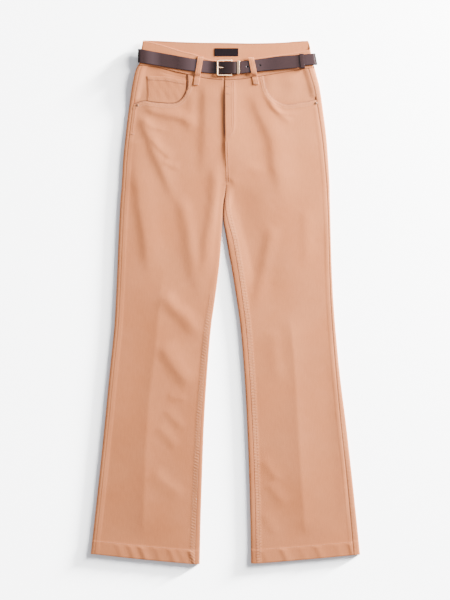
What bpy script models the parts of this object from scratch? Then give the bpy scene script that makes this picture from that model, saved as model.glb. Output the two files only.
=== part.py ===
"""Bootcut jeans with their own leather belt, laid flat on their back.

The frame: +Y runs from the hems to the waist, +Z up from the surface, and the wearer's
right leg lies at -X.  Tables are in millimetres: `x` from the centre line, and `drop`
down from the top of the back waist, so y = HALF_LENGTH - drop.
"""
import math
from collections import namedtuple

import bmesh
import bpy
from mathutils import Vector

MM = 0.001
WELD = 1e-6                  # merge distance, in metres

# Driving dimensions, in millimetres.
HALF_LENGTH = 549.25         # half of the length from the back waist to the hems
MIDDLE_X = 0.52              # middle of the width, in the tables' x
DENIM = 1.2                  # wall of a denim panel
EDGE_RADIUS = 2.6            # outer radius of a leg's folded edge
SEAM_GAP = 0.3               # between the two panels of a seam
WAIST_LIFT = 4.1             # the belt's back run holds the back waist this high
LIFT_START, LIFT_END = 70.0, 150.0
WAISTBAND = 2.2              # thickness of the folded waistband
LEATHER = 2.2                # thickness of the belt
SKIVED = 1.2                 # leather thinned where it folds round the buckle's bar
UNDERLAY = 1.7               # how far a layer's face lies below the front panel's face
LOOP = 1.3                   # thickness of a belt loop
LOOP_WIDTH = 11.5
HEM_DROP = (1073.0, 1098.5)  # at the side seam and at the inseam
FORK_DROP = 303.0
FORK_X = 4.0
FORK_CURL = 2.1              # the backs' edges curl this far inside the fork
TORSO_ROWS = 14              # rows of a front panel above and below the fork;
LEG_ROWS = 40                # a back panel has every second one
HEM_BAND, HEM_RISE = 29.0, 0.6   # depth of the turned-up hem, and its extra thickness
FRONT_COLUMNS = 14
BACK_STEPS = 12              # points round a back panel's section, less one

LEG = namedtuple("Leg", "drop outer inner seam_out seam_in")
# Distances outward from the centre line to the tube's folded edges, and how far inside
# them the side seam and the inseam lie.  Above the fork `inner` is the centre-back seam.
RIGHT_LEG = [LEG(*row) for row in (
    (52, 183.0, 0.0, 8.5, 3.6),
    (60, 187.0, 0.0, 9.0, 3.6),
    (75, 191.0, -0.4, 9.5, 3.6),
    (100, 196.0, -0.8, 9.5, 3.6),
    (150, 203.0, -1.6, 8.0, 3.6),
    (200, 209.0, -2.4, 8.0, 3.6),
    (250, 214.0, -3.2, 8.0, 3.6),
    (303, 217.0, -4.0, 8.0, 3.6),
    (340, 220.0, 0.6, 8.0, 3.6),
    (380, 222.0, 5.7, 8.0, 3.6),
    (420, 223.8, 8.6, 8.0, 3.6),
    (480, 226.2, 14.7, 8.0, 3.6),
    (540, 229.0, 22.5, 8.0, 3.6),
    (600, 232.5, 30.5, 8.0, 3.6),
    (700, 242.6, 38.0, 8.0, 4.6),
    (800, 252.3, 44.0, 8.0, 6.2),
    (900, 262.5, 48.3, 8.0, 7.8),
    (1000, 273.4, 52.0, 8.0, 9.2),
    (1100, 284.5, 54.8, 8.0, 10.0),
)]
LEFT_LEG = [LEG(*row) for row in (
    (52, 184.5, 0.4, 12.0, 3.6),
    (60, 187.0, 0.4, 11.5, 3.6),
    (75, 191.0, 0.6, 10.8, 3.6),
    (100, 197.0, 1.0, 9.5, 3.6),
    (150, 204.0, 1.8, 8.0, 3.6),
    (200, 210.5, 2.6, 7.0, 3.6),
    (250, 214.8, 3.4, 6.0, 3.6),
    (303, 218.4, 4.0, 5.0, 3.6),
    (340, 219.8, -0.6, 4.5, 3.8),
    (380, 221.0, 1.4, 4.0, 7.2),
    (420, 222.0, 6.5, 4.0, 10.8),
    (480, 223.8, 16.4, 4.4, 12.0),
    (540, 226.5, 25.0, 5.0, 11.2),
    (600, 230.6, 33.0, 5.5, 10.6),
    (700, 240.2, 41.3, 6.8, 10.0),
    (800, 251.8, 46.8, 9.0, 10.0),
    (900, 264.0, 51.0, 10.2, 10.0),
    (1000, 275.0, 53.6, 11.6, 10.0),
    (1100, 285.3, 55.2, 13.2, 10.0),
)]
LEGS = {-1: RIGHT_LEG, 1: LEFT_LEG}   # by the side of the centre line

# Where the two fronts meet: the fly, then the seam down to the fork.
CENTRE_FRONT = ((60, -5.0), (150, -4.0), (217, -3.0), (260, 0.5), (303, 4.0))

# Seam lines across the front, as (x, drop).
WAIST_SEAM = ((-190, 51.5), (-165, 51.8), (-145, 53.6), (-117, 61.0), (-80, 69.4),
              (-52, 75.8), (-20, 80.2), (-4, 81.2), (30, 79.8), (52, 76.8), (80, 72.6),
              (110, 67.6), (140, 62.2), (165, 58.4), (190, 55.4))
WAIST_TOP = ((-173, 0.4), (-160, 1.2), (-136, 6.9), (-111, 14.7), (-90, 21.2),
             (-64, 27.4), (-44, 35.2), (-25, 39.7), (-4, 41.2), (31, 40.8), (61, 36.1),
             (96, 31.0), (124, 27.7), (151, 23.5), (177, 17.9))
BACK_TOP_SAG = 5.9           # the back waist's top edge sags this much at its middle
BACK_SEAM_DROP = 47.0        # seam of the back waistband
BAND_SIDE = {-1: ((0, 173.0), (51, 180.5)), 1: ((0, 172.8), (56, 183.0))}   # its folds
BAND_FRONT_STATIONS, BAND_BACK_STATIONS = 16, 17
BAND_BEND = 3.0              # the flat runs end this far inside the folds
BAND_CLEAR = 0.1             # the band's lower edge keeps this much more from the panels

# Front pocket openings, as (x outward, drop), from the waist seam to the side seam.
POCKET_EDGE = {
    -1: ((79.5, 60), (78.8, 72), (78.6, 82), (79.6, 98), (84, 110), (90.5, 120),
         (99.5, 127.5), (112, 130.2), (136, 128.6), (156, 125.6), (168, 123.4),
         (180, 125.6), (187, 131.5), (206, 134)),
    1: ((81, 60), (82, 74), (84, 86), (89, 103), (98.5, 117), (110, 125.6),
        (123.5, 131.6), (138, 132.2), (155, 129.4), (173, 126.6), (186, 123.4),
        (206, 122)),
}
FACING_TOP, FACING_BOTTOM = 58.0, 146.0
FACING_TUCK, FACING_MARGIN = 3.0, 16.0     # past the side seam, and past the opening
COIN_TOP = ((-163, 72.6), (-122, 75.0), (-103, 78.8), (-80, 82.0))
COIN_X = (-163.5, -83.0)     # its free side, and its side at the pocket opening
RIVET_AT = {-1: (184.6, 139.0), 1: (188.0, 133.0)}
RIVET_RADIUS, RIVET_HEIGHT = 2.6, 1.1

# The fly facing under the wearer's left front lifts it a little.
FLY_WIDTH, FLY_END, FLY_RISE = 25.0, 226.0, 0.8
SHIELD_X, SHIELD_DROP = (-30.0, 9.0), (84.0, 232.0)

Fold = namedtuple("Fold", "height width route")
# Folds of the cloth: the height is below zero for a trough, the width is half of the
# fold's, and the route is (x, drop) points along it.
FOLDS = [Fold(*row) for row in (
    (-2.2, 13, ((-189, 165), (-136, 249), (-115, 318), (-103, 375), (-94, 486), (-40, 560))),
    (1.0, 15, ((-160, 165), (-112, 236), (-88, 318), (-72, 400))),
    (-1.3, 10, ((-192, 330), (-178, 410), (-170, 480))),
    (-1.9, 10, ((-14, 270), (-25, 310), (-36, 360), (-59, 431), (-67, 474))),
    (0.8, 9, ((-34, 285), (-52, 360), (-78, 440))),
    (-1.0, 8, ((-160, 150), (-124, 160), (-88, 180))),
    (-1.0, 10, ((-46, 116), (-52, 160), (-57, 234))),
    (1.0, 12, ((-143, 196), (-122, 218), (-101, 246))),
    (-1.4, 12, ((67, 150), (94, 234), (115, 333), (120, 400))),
    (0.9, 12, ((94, 160), (122, 240), (141, 340))),
    (-1.1, 8, ((12, 292), (40, 289), (73, 284))),
    (-1.2, 9, ((52, 440), (55, 500), (60, 560))),
    (-1.2, 10, ((101, 347), (88, 395), (73, 444))),
    (0.7, 9, ((-133, 515), (-162, 774), (-172, 1040))),
    (0.7, 9, ((136, 560), (150, 740), (172, 1040))),
    (-1.6, 10, ((-130, 549), (-88, 580), (-46, 620))),
    (-1.4, 10, ((-136, 641), (-104, 668), (-73, 704))),
    (-1.1, 9, ((-122, 780), (-94, 809), (-76, 840))),
    (-1.3, 11, ((-151, 893), (-120, 916), (-88, 942))),
    (-1.2, 11, ((60, 640), (96, 668), (130, 720))),
    (-1.2, 10, ((73, 906), (94, 936), (115, 969))),
    (-0.8, 9, ((190, 690), (205, 750), (212, 820))),
    (-0.9, 9, ((-205, 640), (-212, 720), (-225, 800))),
)]

# The belt seen from above, as (x, upper drop, lower drop).
BELT_LEFT_RUN = ((-182, 15.6, 44.9), (-150, 22.0, 50.0), (-110, 29.2, 57.0),
                 (-57, 38.6, 64.6), (-25, 42.0, 68.0), (0, 43.2, 69.0))
BELT_FREE_RUN = ((0, 43.2, 69.0), (30, 42.6, 68.4), (60, 39.8, 65.2), (90, 36.0, 62.0),
                 (120, 32.6, 59.4), (150, 30.2, 56.6), (170, 29.0, 54.8))
BELT_UNDER_RUN = ((0, 43.2, 69.0), (30, 42.6, 68.4), (60, 39.4, 64.8), (90, 35.2, 60.8),
                  (120, 31.4, 57.0), (150, 29.4, 53.0), (185, 26.0, 49.8))
BELT_BACK_RUN = ((-182, 15.6, 44.9), (0, 21.0, 47.6), (185, 26.0, 49.8))
BELT_SIDE = {-1: (182.7, 182.7), 1: (186.6, 191.0)}   # outermost, upper and lower edge
BELT_FRONT_Z, BELT_BACK_Z, BELT_RIGHT_Z = 10.7, 2.7, 11.9
# Height of the strap's middle along x: away from the fold at the buckle, and the free
# end's climb through the frame and over the hinge bar.
UNDER_FALL = ((19, 13.4), (24.4, 11.9), (32, 11.8), (42, 11.1), (52, 10.7), (70, 10.7),
              (90, 10.7), (110, 11.0), (130, 11.5), (150, 11.9), (168, 11.9))
FREE_RISE = ((-14, 10.8), (-10, 12.0), (-5, 13.9), (0, 15.6), (5, 16.3), (16, 16.3),
             (21, 15.4), (26, 14.4), (32, 14.3), (42, 13.6), (52, 13.2), (70, 13.2),
             (90, 13.2), (110, 13.5), (130, 14.0), (150, 14.4), (159, 14.4))
BELT_TIP_X, BELT_TIP_Z = 166.5, 14.4
HINGE_X, HINGE_Z = 14.0, 12.3
# Holes in the free end: place, half of the extra length, and the height that the cut
# starts from.  The prong goes slanting through the first, which is a slot.
HOLES = ((-4.3, 4.0, 9.2), (51.4, 0.0, 11.95), (69.4, 0.0, 11.95))
HOLE_RADIUS = 1.7

SLOT_X, SLOT_Z, SLOT_HALF = (6.5, 19.5), (9.0, 15.05), 2.6    # the fold's, for the prong

BAR_RADIUS = 1.1             # hinge bar
FRAME_X, FRAME_DROP = (-15.9, 14.0), (40.9, 71.7)    # centre lines of the frame's bars
FRAME_BAR = (3.0, 2.6)       # width and height of the frame's visible bars
FRAME_LEFT_Z, FRAME_CORNER = 13.7, 3.2
# Rings round both layers of the strap: the ends of each size, outside.
Keeper = namedtuple("Keeper", "x drop z wall lean")
METAL_KEEPER = Keeper((24.8, 31.4), (41.2, 70.0), (9.6, 16.9), 0.8, 0.0)
LEATHER_KEEPER = Keeper((157.0, 166.5), (26.8, 57.4), (9.6, 16.7), 0.9, 3.0)
LABEL_X, LABEL_DROP, LABEL_THICKNESS = (-22.0, 28.0), (14.7, 31.5), 0.7

COIN_WALL = 0.9              # the coin pocket's cloth, under the front panel
PRONG_RADIUS, PRONG_EYE_WALL, PRONG_EYE_HALF = 1.05, 0.9, 1.7

CLOTH_ROUGHNESS = 0.85
DENIM_COLOUR = (0.62, 0.36, 0.22)
LEATHER_COLOUR = (0.055, 0.026, 0.028)
BRASS_COLOUR = (0.80, 0.62, 0.36)
RIVET_COLOUR = (0.20, 0.12, 0.08)
LABEL_COLOUR = (0.02, 0.02, 0.03)


# ---------------------------------------------------------------- small tools

def curve_at(points, at):
    """Smooth curve through (position, value) points, straight beyond its ends."""
    last = len(points) - 1
    i = 0
    while i < last - 1 and at > points[i + 1][0]:
        i += 1

    def slope(k):
        low, high = max(k - 1, 0), min(k + 1, last)
        return (points[high][1] - points[low][1]) / (points[high][0] - points[low][0])

    (x0, y0), (x1, y1) = points[i], points[i + 1]
    width = x1 - x0
    t = (at - x0) / width
    if t < 0.0:
        return y0 + slope(i) * (at - x0)
    if t > 1.0:
        return y1 + slope(i + 1) * (at - x1)
    return (y0 * (1 + 2 * t) * (1 - t) ** 2 + y1 * t * t * (3 - 2 * t)
            + width * (slope(i) * t * (1 - t) ** 2 - slope(i + 1) * t * t * (1 - t)))


def leg_at(side, column, drop):
    return curve_at([(row.drop, getattr(row, column)) for row in LEGS[side]], drop)


def inner_edge(side, drop):
    """The leg's inner edge, or the centre-back seam above the fork."""
    table = [row for row in LEGS[side]
             if (row.drop >= FORK_DROP if drop >= FORK_DROP else row.drop <= FORK_DROP)]
    return curve_at([(row.drop, row.inner) for row in table], drop)


def mix(a, b, t):
    return a + (b - a) * t


def smooth(t):
    t = min(max(t, 0.0), 1.0)
    return t * t * (3 - 2 * t)


def point(x, drop, z):
    """A point given in the tables' millimetres, in the part's frame."""
    return Vector((x - MIDDLE_X, HALF_LENGTH - drop, z)) * MM


# ---------------------------------------------------------------- the cloth's surface

def lift(drop):
    """Height of the underside of the back: the belt holds it up at the waist."""
    return WAIST_LIFT * (1 - smooth((drop - LIFT_START) / (LIFT_END - LIFT_START)))


def along_route(route, x, drop):
    """Distance from a fold's route, and how far along it, 0 to 1."""
    best = (1e9, 0.0)
    for i, (a, b) in enumerate(zip(route, route[1:])):
        dx, dy = b[0] - a[0], b[1] - a[1]
        t = ((x - a[0]) * dx + (drop - a[1]) * dy) / (dx * dx + dy * dy)
        t = min(max(t, 0.0), 1.0)
        away = math.hypot(x - a[0] - t * dx, drop - a[1] - t * dy)
        best = min(best, (away, (i + t) / (len(route) - 1)))
    return best


def folds(x, drop):
    """Sum of the folds, kept within what the flat tube's hollow allows."""
    total = 0.0
    for fold in FOLDS:
        away, t = along_route(fold.route, x, drop)
        if away < 3 * fold.width:
            ends = math.sin(math.pi * mix(0.12, 0.88, t)) ** 1.5
            total += fold.height * ends * math.exp(-(away / fold.width) ** 2)
    return max(min(total, 1.1), -2.3)


def rim_height(inside):
    """Height of the folded edge's round, at a distance inside the edge."""
    if inside >= EDGE_RADIUS:
        return 2 * EDGE_RADIUS
    down = EDGE_RADIUS - max(inside, 0.0)
    return EDGE_RADIUS + math.sqrt(EDGE_RADIUS ** 2 - down ** 2)


def front_height(side, x, drop):
    """Top face of the cloth over the whole front."""
    from_side = leg_at(side, "outer", drop) - side * x
    if drop >= FORK_DROP:
        from_inside = side * x - inner_edge(side, drop)
        inside = min(from_side, from_inside)
    else:
        from_inside = math.hypot(x - FORK_X, FORK_DROP - drop)
        inside = from_side
    fade = smooth((min(from_side, from_inside) - EDGE_RADIUS) / 16.0)
    fade *= smooth((drop - LIFT_START) / 50.0)
    height = lift(drop) + rim_height(inside) + fade * folds(x, drop)
    return height + hem_rise(from_side, from_inside, drop)


def hem_rise(from_side, from_inside, drop):
    """The hem's turned-up cloth lifts the last of the leg a little."""
    width = max(from_side + from_inside, 1.0)
    hem = mix(HEM_DROP[0], HEM_DROP[1], from_side / width)
    return HEM_RISE * smooth((drop - hem + HEM_BAND) / 2.0 + 0.5)


def fly_rise(x, drop):
    """The fly facing's J, from the centre front out to its topstitching."""
    across = x - curve_at(CENTRE_FRONT, drop)
    reach = FLY_WIDTH * math.sqrt(max(0.0, 1 - max(0.0, (drop - 180) / (FLY_END - 180)) ** 2))
    return FLY_RISE * smooth((reach - across) / 3.0 + 0.5)


# ---------------------------------------------------------------- making solids

def clear_scene():
    for item in list(bpy.data.objects):
        bpy.data.objects.remove(item, do_unlink=True)


def collection(name):
    group = bpy.data.collections.new(name)
    bpy.context.scene.collection.children.link(group)
    return group


def material(name, colour, roughness, metallic=0.0):
    finish = bpy.data.materials.new(name)
    finish.use_nodes = True
    shader = finish.node_tree.nodes["Principled BSDF"]
    shader.inputs["Base Color"].default_value = (*colour, 1.0)
    shader.inputs["Roughness"].default_value = roughness
    shader.inputs["Metallic"].default_value = metallic
    return finish


def add_object(name, mesh, colour, roughness, group, metallic=0.0):
    item = bpy.data.objects.new(name, mesh)
    mesh.materials.append(material(name, colour, roughness, metallic))
    group.objects.link(item)
    return item


def mesh_from(bm, name):
    mesh = bpy.data.meshes.new(name)
    bm.to_mesh(mesh)
    bm.free()
    return mesh


def sheet(name, columns, rows, place, thickness, colour, group, flip=False):
    """An open grid put in place by place(u, v), with its wall grown inward."""
    bm = bmesh.new()
    bmesh.ops.create_grid(bm, x_segments=columns, y_segments=rows, size=0.5)
    for vert in bm.verts:
        vert.co = place(vert.co.x + 0.5, vert.co.y + 0.5)
    if flip:
        bmesh.ops.reverse_faces(bm, faces=bm.faces)
    item = add_object(name, mesh_from(bm, name), colour, CLOTH_ROUGHNESS, group)
    wall = item.modifiers.new("wall", "SOLIDIFY")
    wall.thickness = thickness * MM
    wall.offset = -1.0
    wall.use_even_offset = True
    return item


def loft(name, rings, colour, roughness, group, metallic=0.0, closed=False):
    """Skin a run of rings with the same number of corners."""
    bm = bmesh.new()
    skins = [[bm.verts.new(corner) for corner in ring] for ring in rings]
    pairs = list(zip(skins, skins[1:] + skins[:1] if closed else skins[1:]))
    for ring, after in pairs:
        for k in range(len(ring)):
            n = (k + 1) % len(ring)
            bm.faces.new((ring[k], ring[n], after[n], after[k]))
    if not closed:
        bm.faces.new(skins[0])
        bm.faces.new(reversed(skins[-1]))
    bmesh.ops.recalc_face_normals(bm, faces=bm.faces)
    return add_object(name, mesh_from(bm, name), colour, roughness, group, metallic)


def band_ring(upper, lower, normal, thickness):
    """Rectangular ring of a strap between its two edges' middle points."""
    half = normal * (thickness / 2) * MM
    return [upper + half, lower + half, lower - half, upper - half]


def prism(name, outline, low, high, group):
    """Cutter: a flat outline of (x, drop) points, drawn out upward."""
    curve = bpy.data.curves.new(name, "CURVE")
    curve.dimensions = "2D"
    curve.fill_mode = "BOTH"
    curve.extrude = (high - low) / 2 * MM
    spline = curve.splines.new("POLY")
    spline.points.add(len(outline) - 1)
    for knot, (x, drop) in zip(spline.points, outline):
        knot.co = (*point(x, drop, 0.0), 1.0)
    spline.use_cyclic_u = True
    drawn = bpy.data.objects.new(name + "_outline", curve)
    drawn.location.z = (high + low) / 2 * MM
    group.objects.link(drawn)
    bpy.context.view_layer.update()
    mesh = bpy.data.meshes.new_from_object(
        drawn.evaluated_get(bpy.context.evaluated_depsgraph_get()))
    mesh.transform(drawn.matrix_world)
    bpy.data.objects.remove(drawn)
    bm = bmesh.new()
    bm.from_mesh(mesh)
    bmesh.ops.remove_doubles(bm, verts=bm.verts, dist=WELD)
    bmesh.ops.recalc_face_normals(bm, faces=bm.faces)
    return cutter(name, mesh_from(bm, name), group)


def cutter(name, mesh, group):
    item = bpy.data.objects.new(name, mesh)
    item.hide_render = True
    item.display_type = "WIRE"
    group.objects.link(item)
    return item


def box_cutter(name, low, high, group):
    bm = bmesh.new()
    bmesh.ops.create_cube(bm, size=1.0)
    for vert in bm.verts:
        for axis in range(3):
            vert.co[axis] = mix(low[axis], high[axis], vert.co[axis] + 0.5)
    return cutter(name, mesh_from(bm, name), group)


def cut(item, tool, operation="DIFFERENCE"):
    step = item.modifiers.new(tool.name, "BOOLEAN")
    step.operation = operation
    step.solver = "EXACT"
    step.object = tool


# ---------------------------------------------------------------- denim panels

def row_drops(row, top_out, top_in):
    """Drops of a row's two ends: down to the fork, to the hem's band, and to the hem."""
    if row <= TORSO_ROWS:
        t = row / TORSO_ROWS
        return mix(top_out, FORK_DROP, t), mix(top_in, FORK_DROP, t)
    band_row = TORSO_ROWS + LEG_ROWS - 4
    drops = []
    for hem in HEM_DROP:
        if row <= band_row:
            t = (row - TORSO_ROWS) / (LEG_ROWS - 4)
            drops.append(mix(FORK_DROP, hem - HEM_BAND - 1.0, t))
        elif row <= band_row + 2:
            drops.append(hem - HEM_BAND - 1.0 + (row - band_row))
        else:
            drops.append(mix(hem - HEM_BAND + 1.0, hem, (row - band_row - 2) / 2))
    return drops


def band_seam(x, at_front):
    """Drop of the waistband's lower edge, from the back (0) to the front (1)."""
    return mix(BACK_SEAM_DROP, curve_at(WAIST_SEAM, x), at_front)


def front_rail(side, row):
    """The front panel's two boundary points in a row, as (x outward, drop) pairs."""
    top_out = curve_at(WAIST_SEAM, side * 180) + SEAM_GAP
    top_in = curve_at(WAIST_SEAM, -4) + SEAM_GAP
    out_drop, in_drop = row_drops(row, top_out, top_in)
    outward = (leg_at(side, "outer", out_drop) - leg_at(side, "seam_out", out_drop)
               - SEAM_GAP / 2)
    if row < TORSO_ROWS:
        inward = side * curve_at(CENTRE_FRONT, in_drop) + SEAM_GAP / 2
    else:
        inward = (inner_edge(side, in_drop) + leg_at(side, "seam_in", in_drop)
                  + SEAM_GAP / 2)
    return (outward, out_drop), (inward, in_drop)


def front_row(side, row):
    """Boundary points; an odd row lies midway, so that both panels' seams run alike."""
    if row % 2 == 0:
        return front_rail(side, row)
    before, after = front_rail(side, row - 1), front_rail(side, row + 1)
    return tuple(tuple(mix(a, b, 0.5) for a, b in zip(*ends)) for ends in zip(before, after))


def front_point(side, u, v):
    row = round(v * (TORSO_ROWS + LEG_ROWS))
    (out_w, out_drop), (in_w, in_drop) = front_row(side, row)
    x = side * mix(out_w, in_w, u)
    drop = mix(out_drop, in_drop, u)
    if row < TORSO_ROWS:
        straight = mix(curve_at(WAIST_SEAM, side * 180), curve_at(WAIST_SEAM, -4), u)
        drop += (curve_at(WAIST_SEAM, x) - straight) * (1 - row / TORSO_ROWS) ** 2
    z = front_height(side, x, drop)
    if side > 0 and drop < FLY_END:
        z += fly_rise(x, drop)
    return point(x, drop, z)


def pocket_outline(side):
    edge = POCKET_EDGE[side]
    samples = 30
    total = len(edge) - 1
    outline = []
    for k in range(samples + 1):
        at = k / samples * total
        w = curve_at([(i, p[0]) for i, p in enumerate(edge)], at)
        drop = curve_at([(i, p[1]) for i, p in enumerate(edge)], at)
        outline.append((side * w, drop))
    return outline + [(side * 225, edge[-1][1]), (side * 225, 30), (side * edge[0][0], 30)]


def make_front(side, name, group, cutters):
    item = sheet(name, FRONT_COLUMNS, TORSO_ROWS + LEG_ROWS,
                 lambda u, v: front_point(side, u, v), DENIM, DENIM_COLOUR, group,
                 flip=side < 0)
    cut(item, prism(name + "_pocket_scoop", pocket_outline(side), -5, 30, cutters))
    return item


def edge_profile(seam_inset):
    """Top seam to floor round a folded edge: (distance inside the edge, height)."""
    quarter = EDGE_RADIUS * math.pi / 2
    if seam_inset >= EDGE_RADIUS:
        length = seam_inset - EDGE_RADIUS + quarter
    else:
        length = EDGE_RADIUS * math.acos(1 - seam_inset / EDGE_RADIUS)
    step = min(length / 3, quarter / 2)
    profile = []
    for s in (length, 2 * step, step, 0.0):
        angle = min(s, quarter) / EDGE_RADIUS
        inside = EDGE_RADIUS * (1 - math.cos(angle)) + max(s - quarter, 0.0)
        profile.append((inside, EDGE_RADIUS * (1 + math.sin(angle))))
    for angle in (math.pi / 4, math.pi / 2):
        profile.append((EDGE_RADIUS * (1 - math.cos(angle)),
                        EDGE_RADIUS * (1 - math.sin(angle))))
    return profile


def back_point(side, u, v):
    """Round the section: side seam, outer edge, floor, inner edge, inseam."""
    rows = (TORSO_ROWS + LEG_ROWS) // 2
    row = 2 * round(v * rows)
    step = round(u * BACK_STEPS)
    top_out = curve_at(WAIST_SEAM, side * 180) + SEAM_GAP
    out_drop, in_drop = row_drops(row, top_out, BACK_SEAM_DROP + 2 * SEAM_GAP)
    if step <= 5:
        inset, height = edge_profile(leg_at(side, "seam_out", out_drop) - SEAM_GAP / 2)[step]
        w = leg_at(side, "outer", out_drop) - inset
        if row == 0:
            at_front = height / (2 * EDGE_RADIUS)
            clearance = (2 if at_front > 0.9 else 7) * SEAM_GAP
            out_drop = band_seam(side * w, at_front) + clearance
        z = lift(out_drop) + height
        if step < 3:
            z = front_height(side, side * w, out_drop)
        return point(side * w, out_drop, z)
    inner_inset, inner_height = EDGE_RADIUS, 0.0
    if step >= 7:
        seam = FORK_CURL if row == TORSO_ROWS else leg_at(side, "seam_in", in_drop)
        curled = edge_profile(seam - 1.2 * SEAM_GAP)[BACK_STEPS - step]
        if row < TORSO_ROWS:
            flat_inset = mix(EDGE_RADIUS + 2.0, 0.0, (step - 7) / 5)
            inner_inset, inner_height = flat_inset, 0.0
        else:
            inner_inset, inner_height = curled
    w_in = inner_edge(side, in_drop) + SEAM_GAP / 2 + inner_inset
    if step == 6:
        w_out = leg_at(side, "outer", out_drop) - EDGE_RADIUS
        drop = (out_drop + in_drop) / 2 if row else in_drop
        return point(side * (w_in + w_out) / 2, drop, lift(drop))
    z = lift(in_drop) + inner_height
    if row > TORSO_ROWS and step > 9:
        z = front_height(side, side * (w_in - SEAM_GAP / 2), in_drop)
    return point(side * w_in, in_drop, z)


def make_back(side, name, group):
    rows = (TORSO_ROWS + LEG_ROWS) // 2
    return sheet(name, BACK_STEPS, rows, lambda u, v: back_point(side, u, v), DENIM,
                 DENIM_COLOUR, group, flip=side > 0)


# ---------------------------------------------------------------- pockets and fly

def facing_x(side, u, drop):
    """Across the facing: from under the side seam to inside the pocket's opening."""
    outward = leg_at(side, "outer", drop) - leg_at(side, "seam_out", drop) + FACING_TUCK
    return side * mix(outward, POCKET_EDGE[side][0][0] - FACING_MARGIN, u)


def facing_point(side, u, v):
    seam = curve_at(WAIST_SEAM, facing_x(side, u, mix(FACING_TOP, FACING_BOTTOM, v)))
    drop = mix(seam + SEAM_GAP, FACING_BOTTOM, v)
    x = facing_x(side, u, drop)
    return point(x, drop, front_height(side, x, drop) - UNDERLAY)


def make_facing(side, name, group):
    return sheet(name, 7, 7, lambda u, v: facing_point(side, u, v), DENIM, DENIM_COLOUR,
                 group, flip=side < 0)


def opening_drop(x):
    """Lower edge of the right pocket's opening, where it runs across."""
    edge = sorted((-w, drop) for w, drop in POCKET_EDGE[-1][3:11])
    return curve_at(edge, x)


def make_coin_pocket(group):
    def place(u, v):
        x = mix(COIN_X[0], COIN_X[1], u)
        drop = mix(curve_at(COIN_TOP, x), opening_drop(x) - 0.6, v)
        z = front_height(-1, x, drop) - UNDERLAY + SEAM_GAP + COIN_WALL
        return point(x, drop, z)

    return sheet("coin_pocket", 9, 5, place, COIN_WALL, DENIM_COLOUR, group, flip=True)


def make_fly_shield(group):
    def place(u, v):
        drop = mix(SHIELD_DROP[0], SHIELD_DROP[1], v)
        x = curve_at(CENTRE_FRONT, drop) + mix(SHIELD_X[0], SHIELD_X[1], u)
        side = -1 if x < curve_at(CENTRE_FRONT, drop) else 1
        return point(x, drop, front_height(side, x, drop) - UNDERLAY)

    return sheet("fly_shield", 4, 10, place, DENIM, DENIM_COLOUR, group, flip=True)


# ---------------------------------------------------------------- waistband and loops

def side_bend(side, low_z, high_z, steps, going_down):
    """Half circle from one height to the other at a side: (inset, z, normal)."""
    radius = (high_z - low_z) / 2
    for k in range(steps + 1):
        angle = math.pi * (k / steps) - math.pi / 2
        if going_down:
            angle = -angle
        out, up = math.cos(angle), math.sin(angle)
        yield radius * (1 - out), (low_z + high_z) / 2 + radius * up, Vector((side * out, 0, up))


def band_fold(side, drop):
    """The waistband's outermost x at a drop."""
    return side * curve_at(BAND_SIDE[side], drop)


def back_top(x):
    return BACK_TOP_SAG * (1 - (x / 173) ** 2)


def make_waistband(group):
    """One band: centre front, the wearer's right side, the back, the left side."""
    front_z = WAIST_LIFT + 2 * EDGE_RADIUS - WAISTBAND / 2
    back_z = WAIST_LIFT + WAISTBAND / 2
    up = Vector((0, 0, 1))
    centre = curve_at(CENTRE_FRONT, 60)
    rings = []

    def front_run(side, from_centre):
        for k in range(BAND_FRONT_STATIONS):
            t = k / (BAND_FRONT_STATIONS - 1)
            ends = []
            for edge, clear in ((WAIST_TOP, 0.0), (WAIST_SEAM, BAND_CLEAR)):
                fold = band_fold(side, curve_at(edge, side * 178)) - side * BAND_BEND
                x = mix(centre + side * SEAM_GAP / 2, fold, t if from_centre else 1 - t)
                ends.append(point(x, curve_at(edge, x) - clear, front_z))
            rings.append(band_ring(*ends, up, WAISTBAND))

    def turn(side, going_down):
        for inset, z, normal in list(side_bend(side, back_z, front_z, 8, going_down))[1:-1]:
            at_front = (z - back_z) / (front_z - back_z)
            top = mix(back_top(side * 173), curve_at(WAIST_TOP, side * 178), at_front)
            low = band_seam(side * 180, at_front) - BAND_CLEAR
            inset += WAISTBAND / 2
            ends = [point(band_fold(side, drop) - side * inset, drop, z) for drop in (top, low)]
            rings.append(band_ring(*ends, normal, WAISTBAND))

    front_run(-1, True)
    turn(-1, True)
    for k in range(BAND_BACK_STATIONS):
        t = k / (BAND_BACK_STATIONS - 1)
        top, low = [mix(band_fold(-1, drop) + BAND_BEND, band_fold(1, drop) - BAND_BEND, t)
                    for drop in (0.0, BACK_SEAM_DROP)]
        rings.append(band_ring(point(top, back_top(top), back_z),
                               point(low, BACK_SEAM_DROP - BAND_CLEAR, back_z), -up,
                               WAISTBAND))
    turn(1, False)
    front_run(1, False)
    return loft("waistband", rings, DENIM_COLOUR, CLOTH_ROUGHNESS, group)


def make_loop(name, stations, group):
    """A strip that runs down the garment: stations are (x, drop, z) of its middle."""
    rings = []
    for k, (x, drop, z) in enumerate(stations):
        before, after = stations[max(k - 1, 0)], stations[min(k + 1, len(stations) - 1)]
        along = point(*after) - point(*before)
        normal = Vector((1, 0, 0)).cross(along).normalized()
        if normal.z < 0:
            normal = -normal
        rings.append(band_ring(point(x - LOOP_WIDTH / 2, drop, z),
                               point(x + LOOP_WIDTH / 2, drop, z), normal, LOOP))
    return loft(name, rings, DENIM_COLOUR, CLOTH_ROUGHNESS, group)


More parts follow.
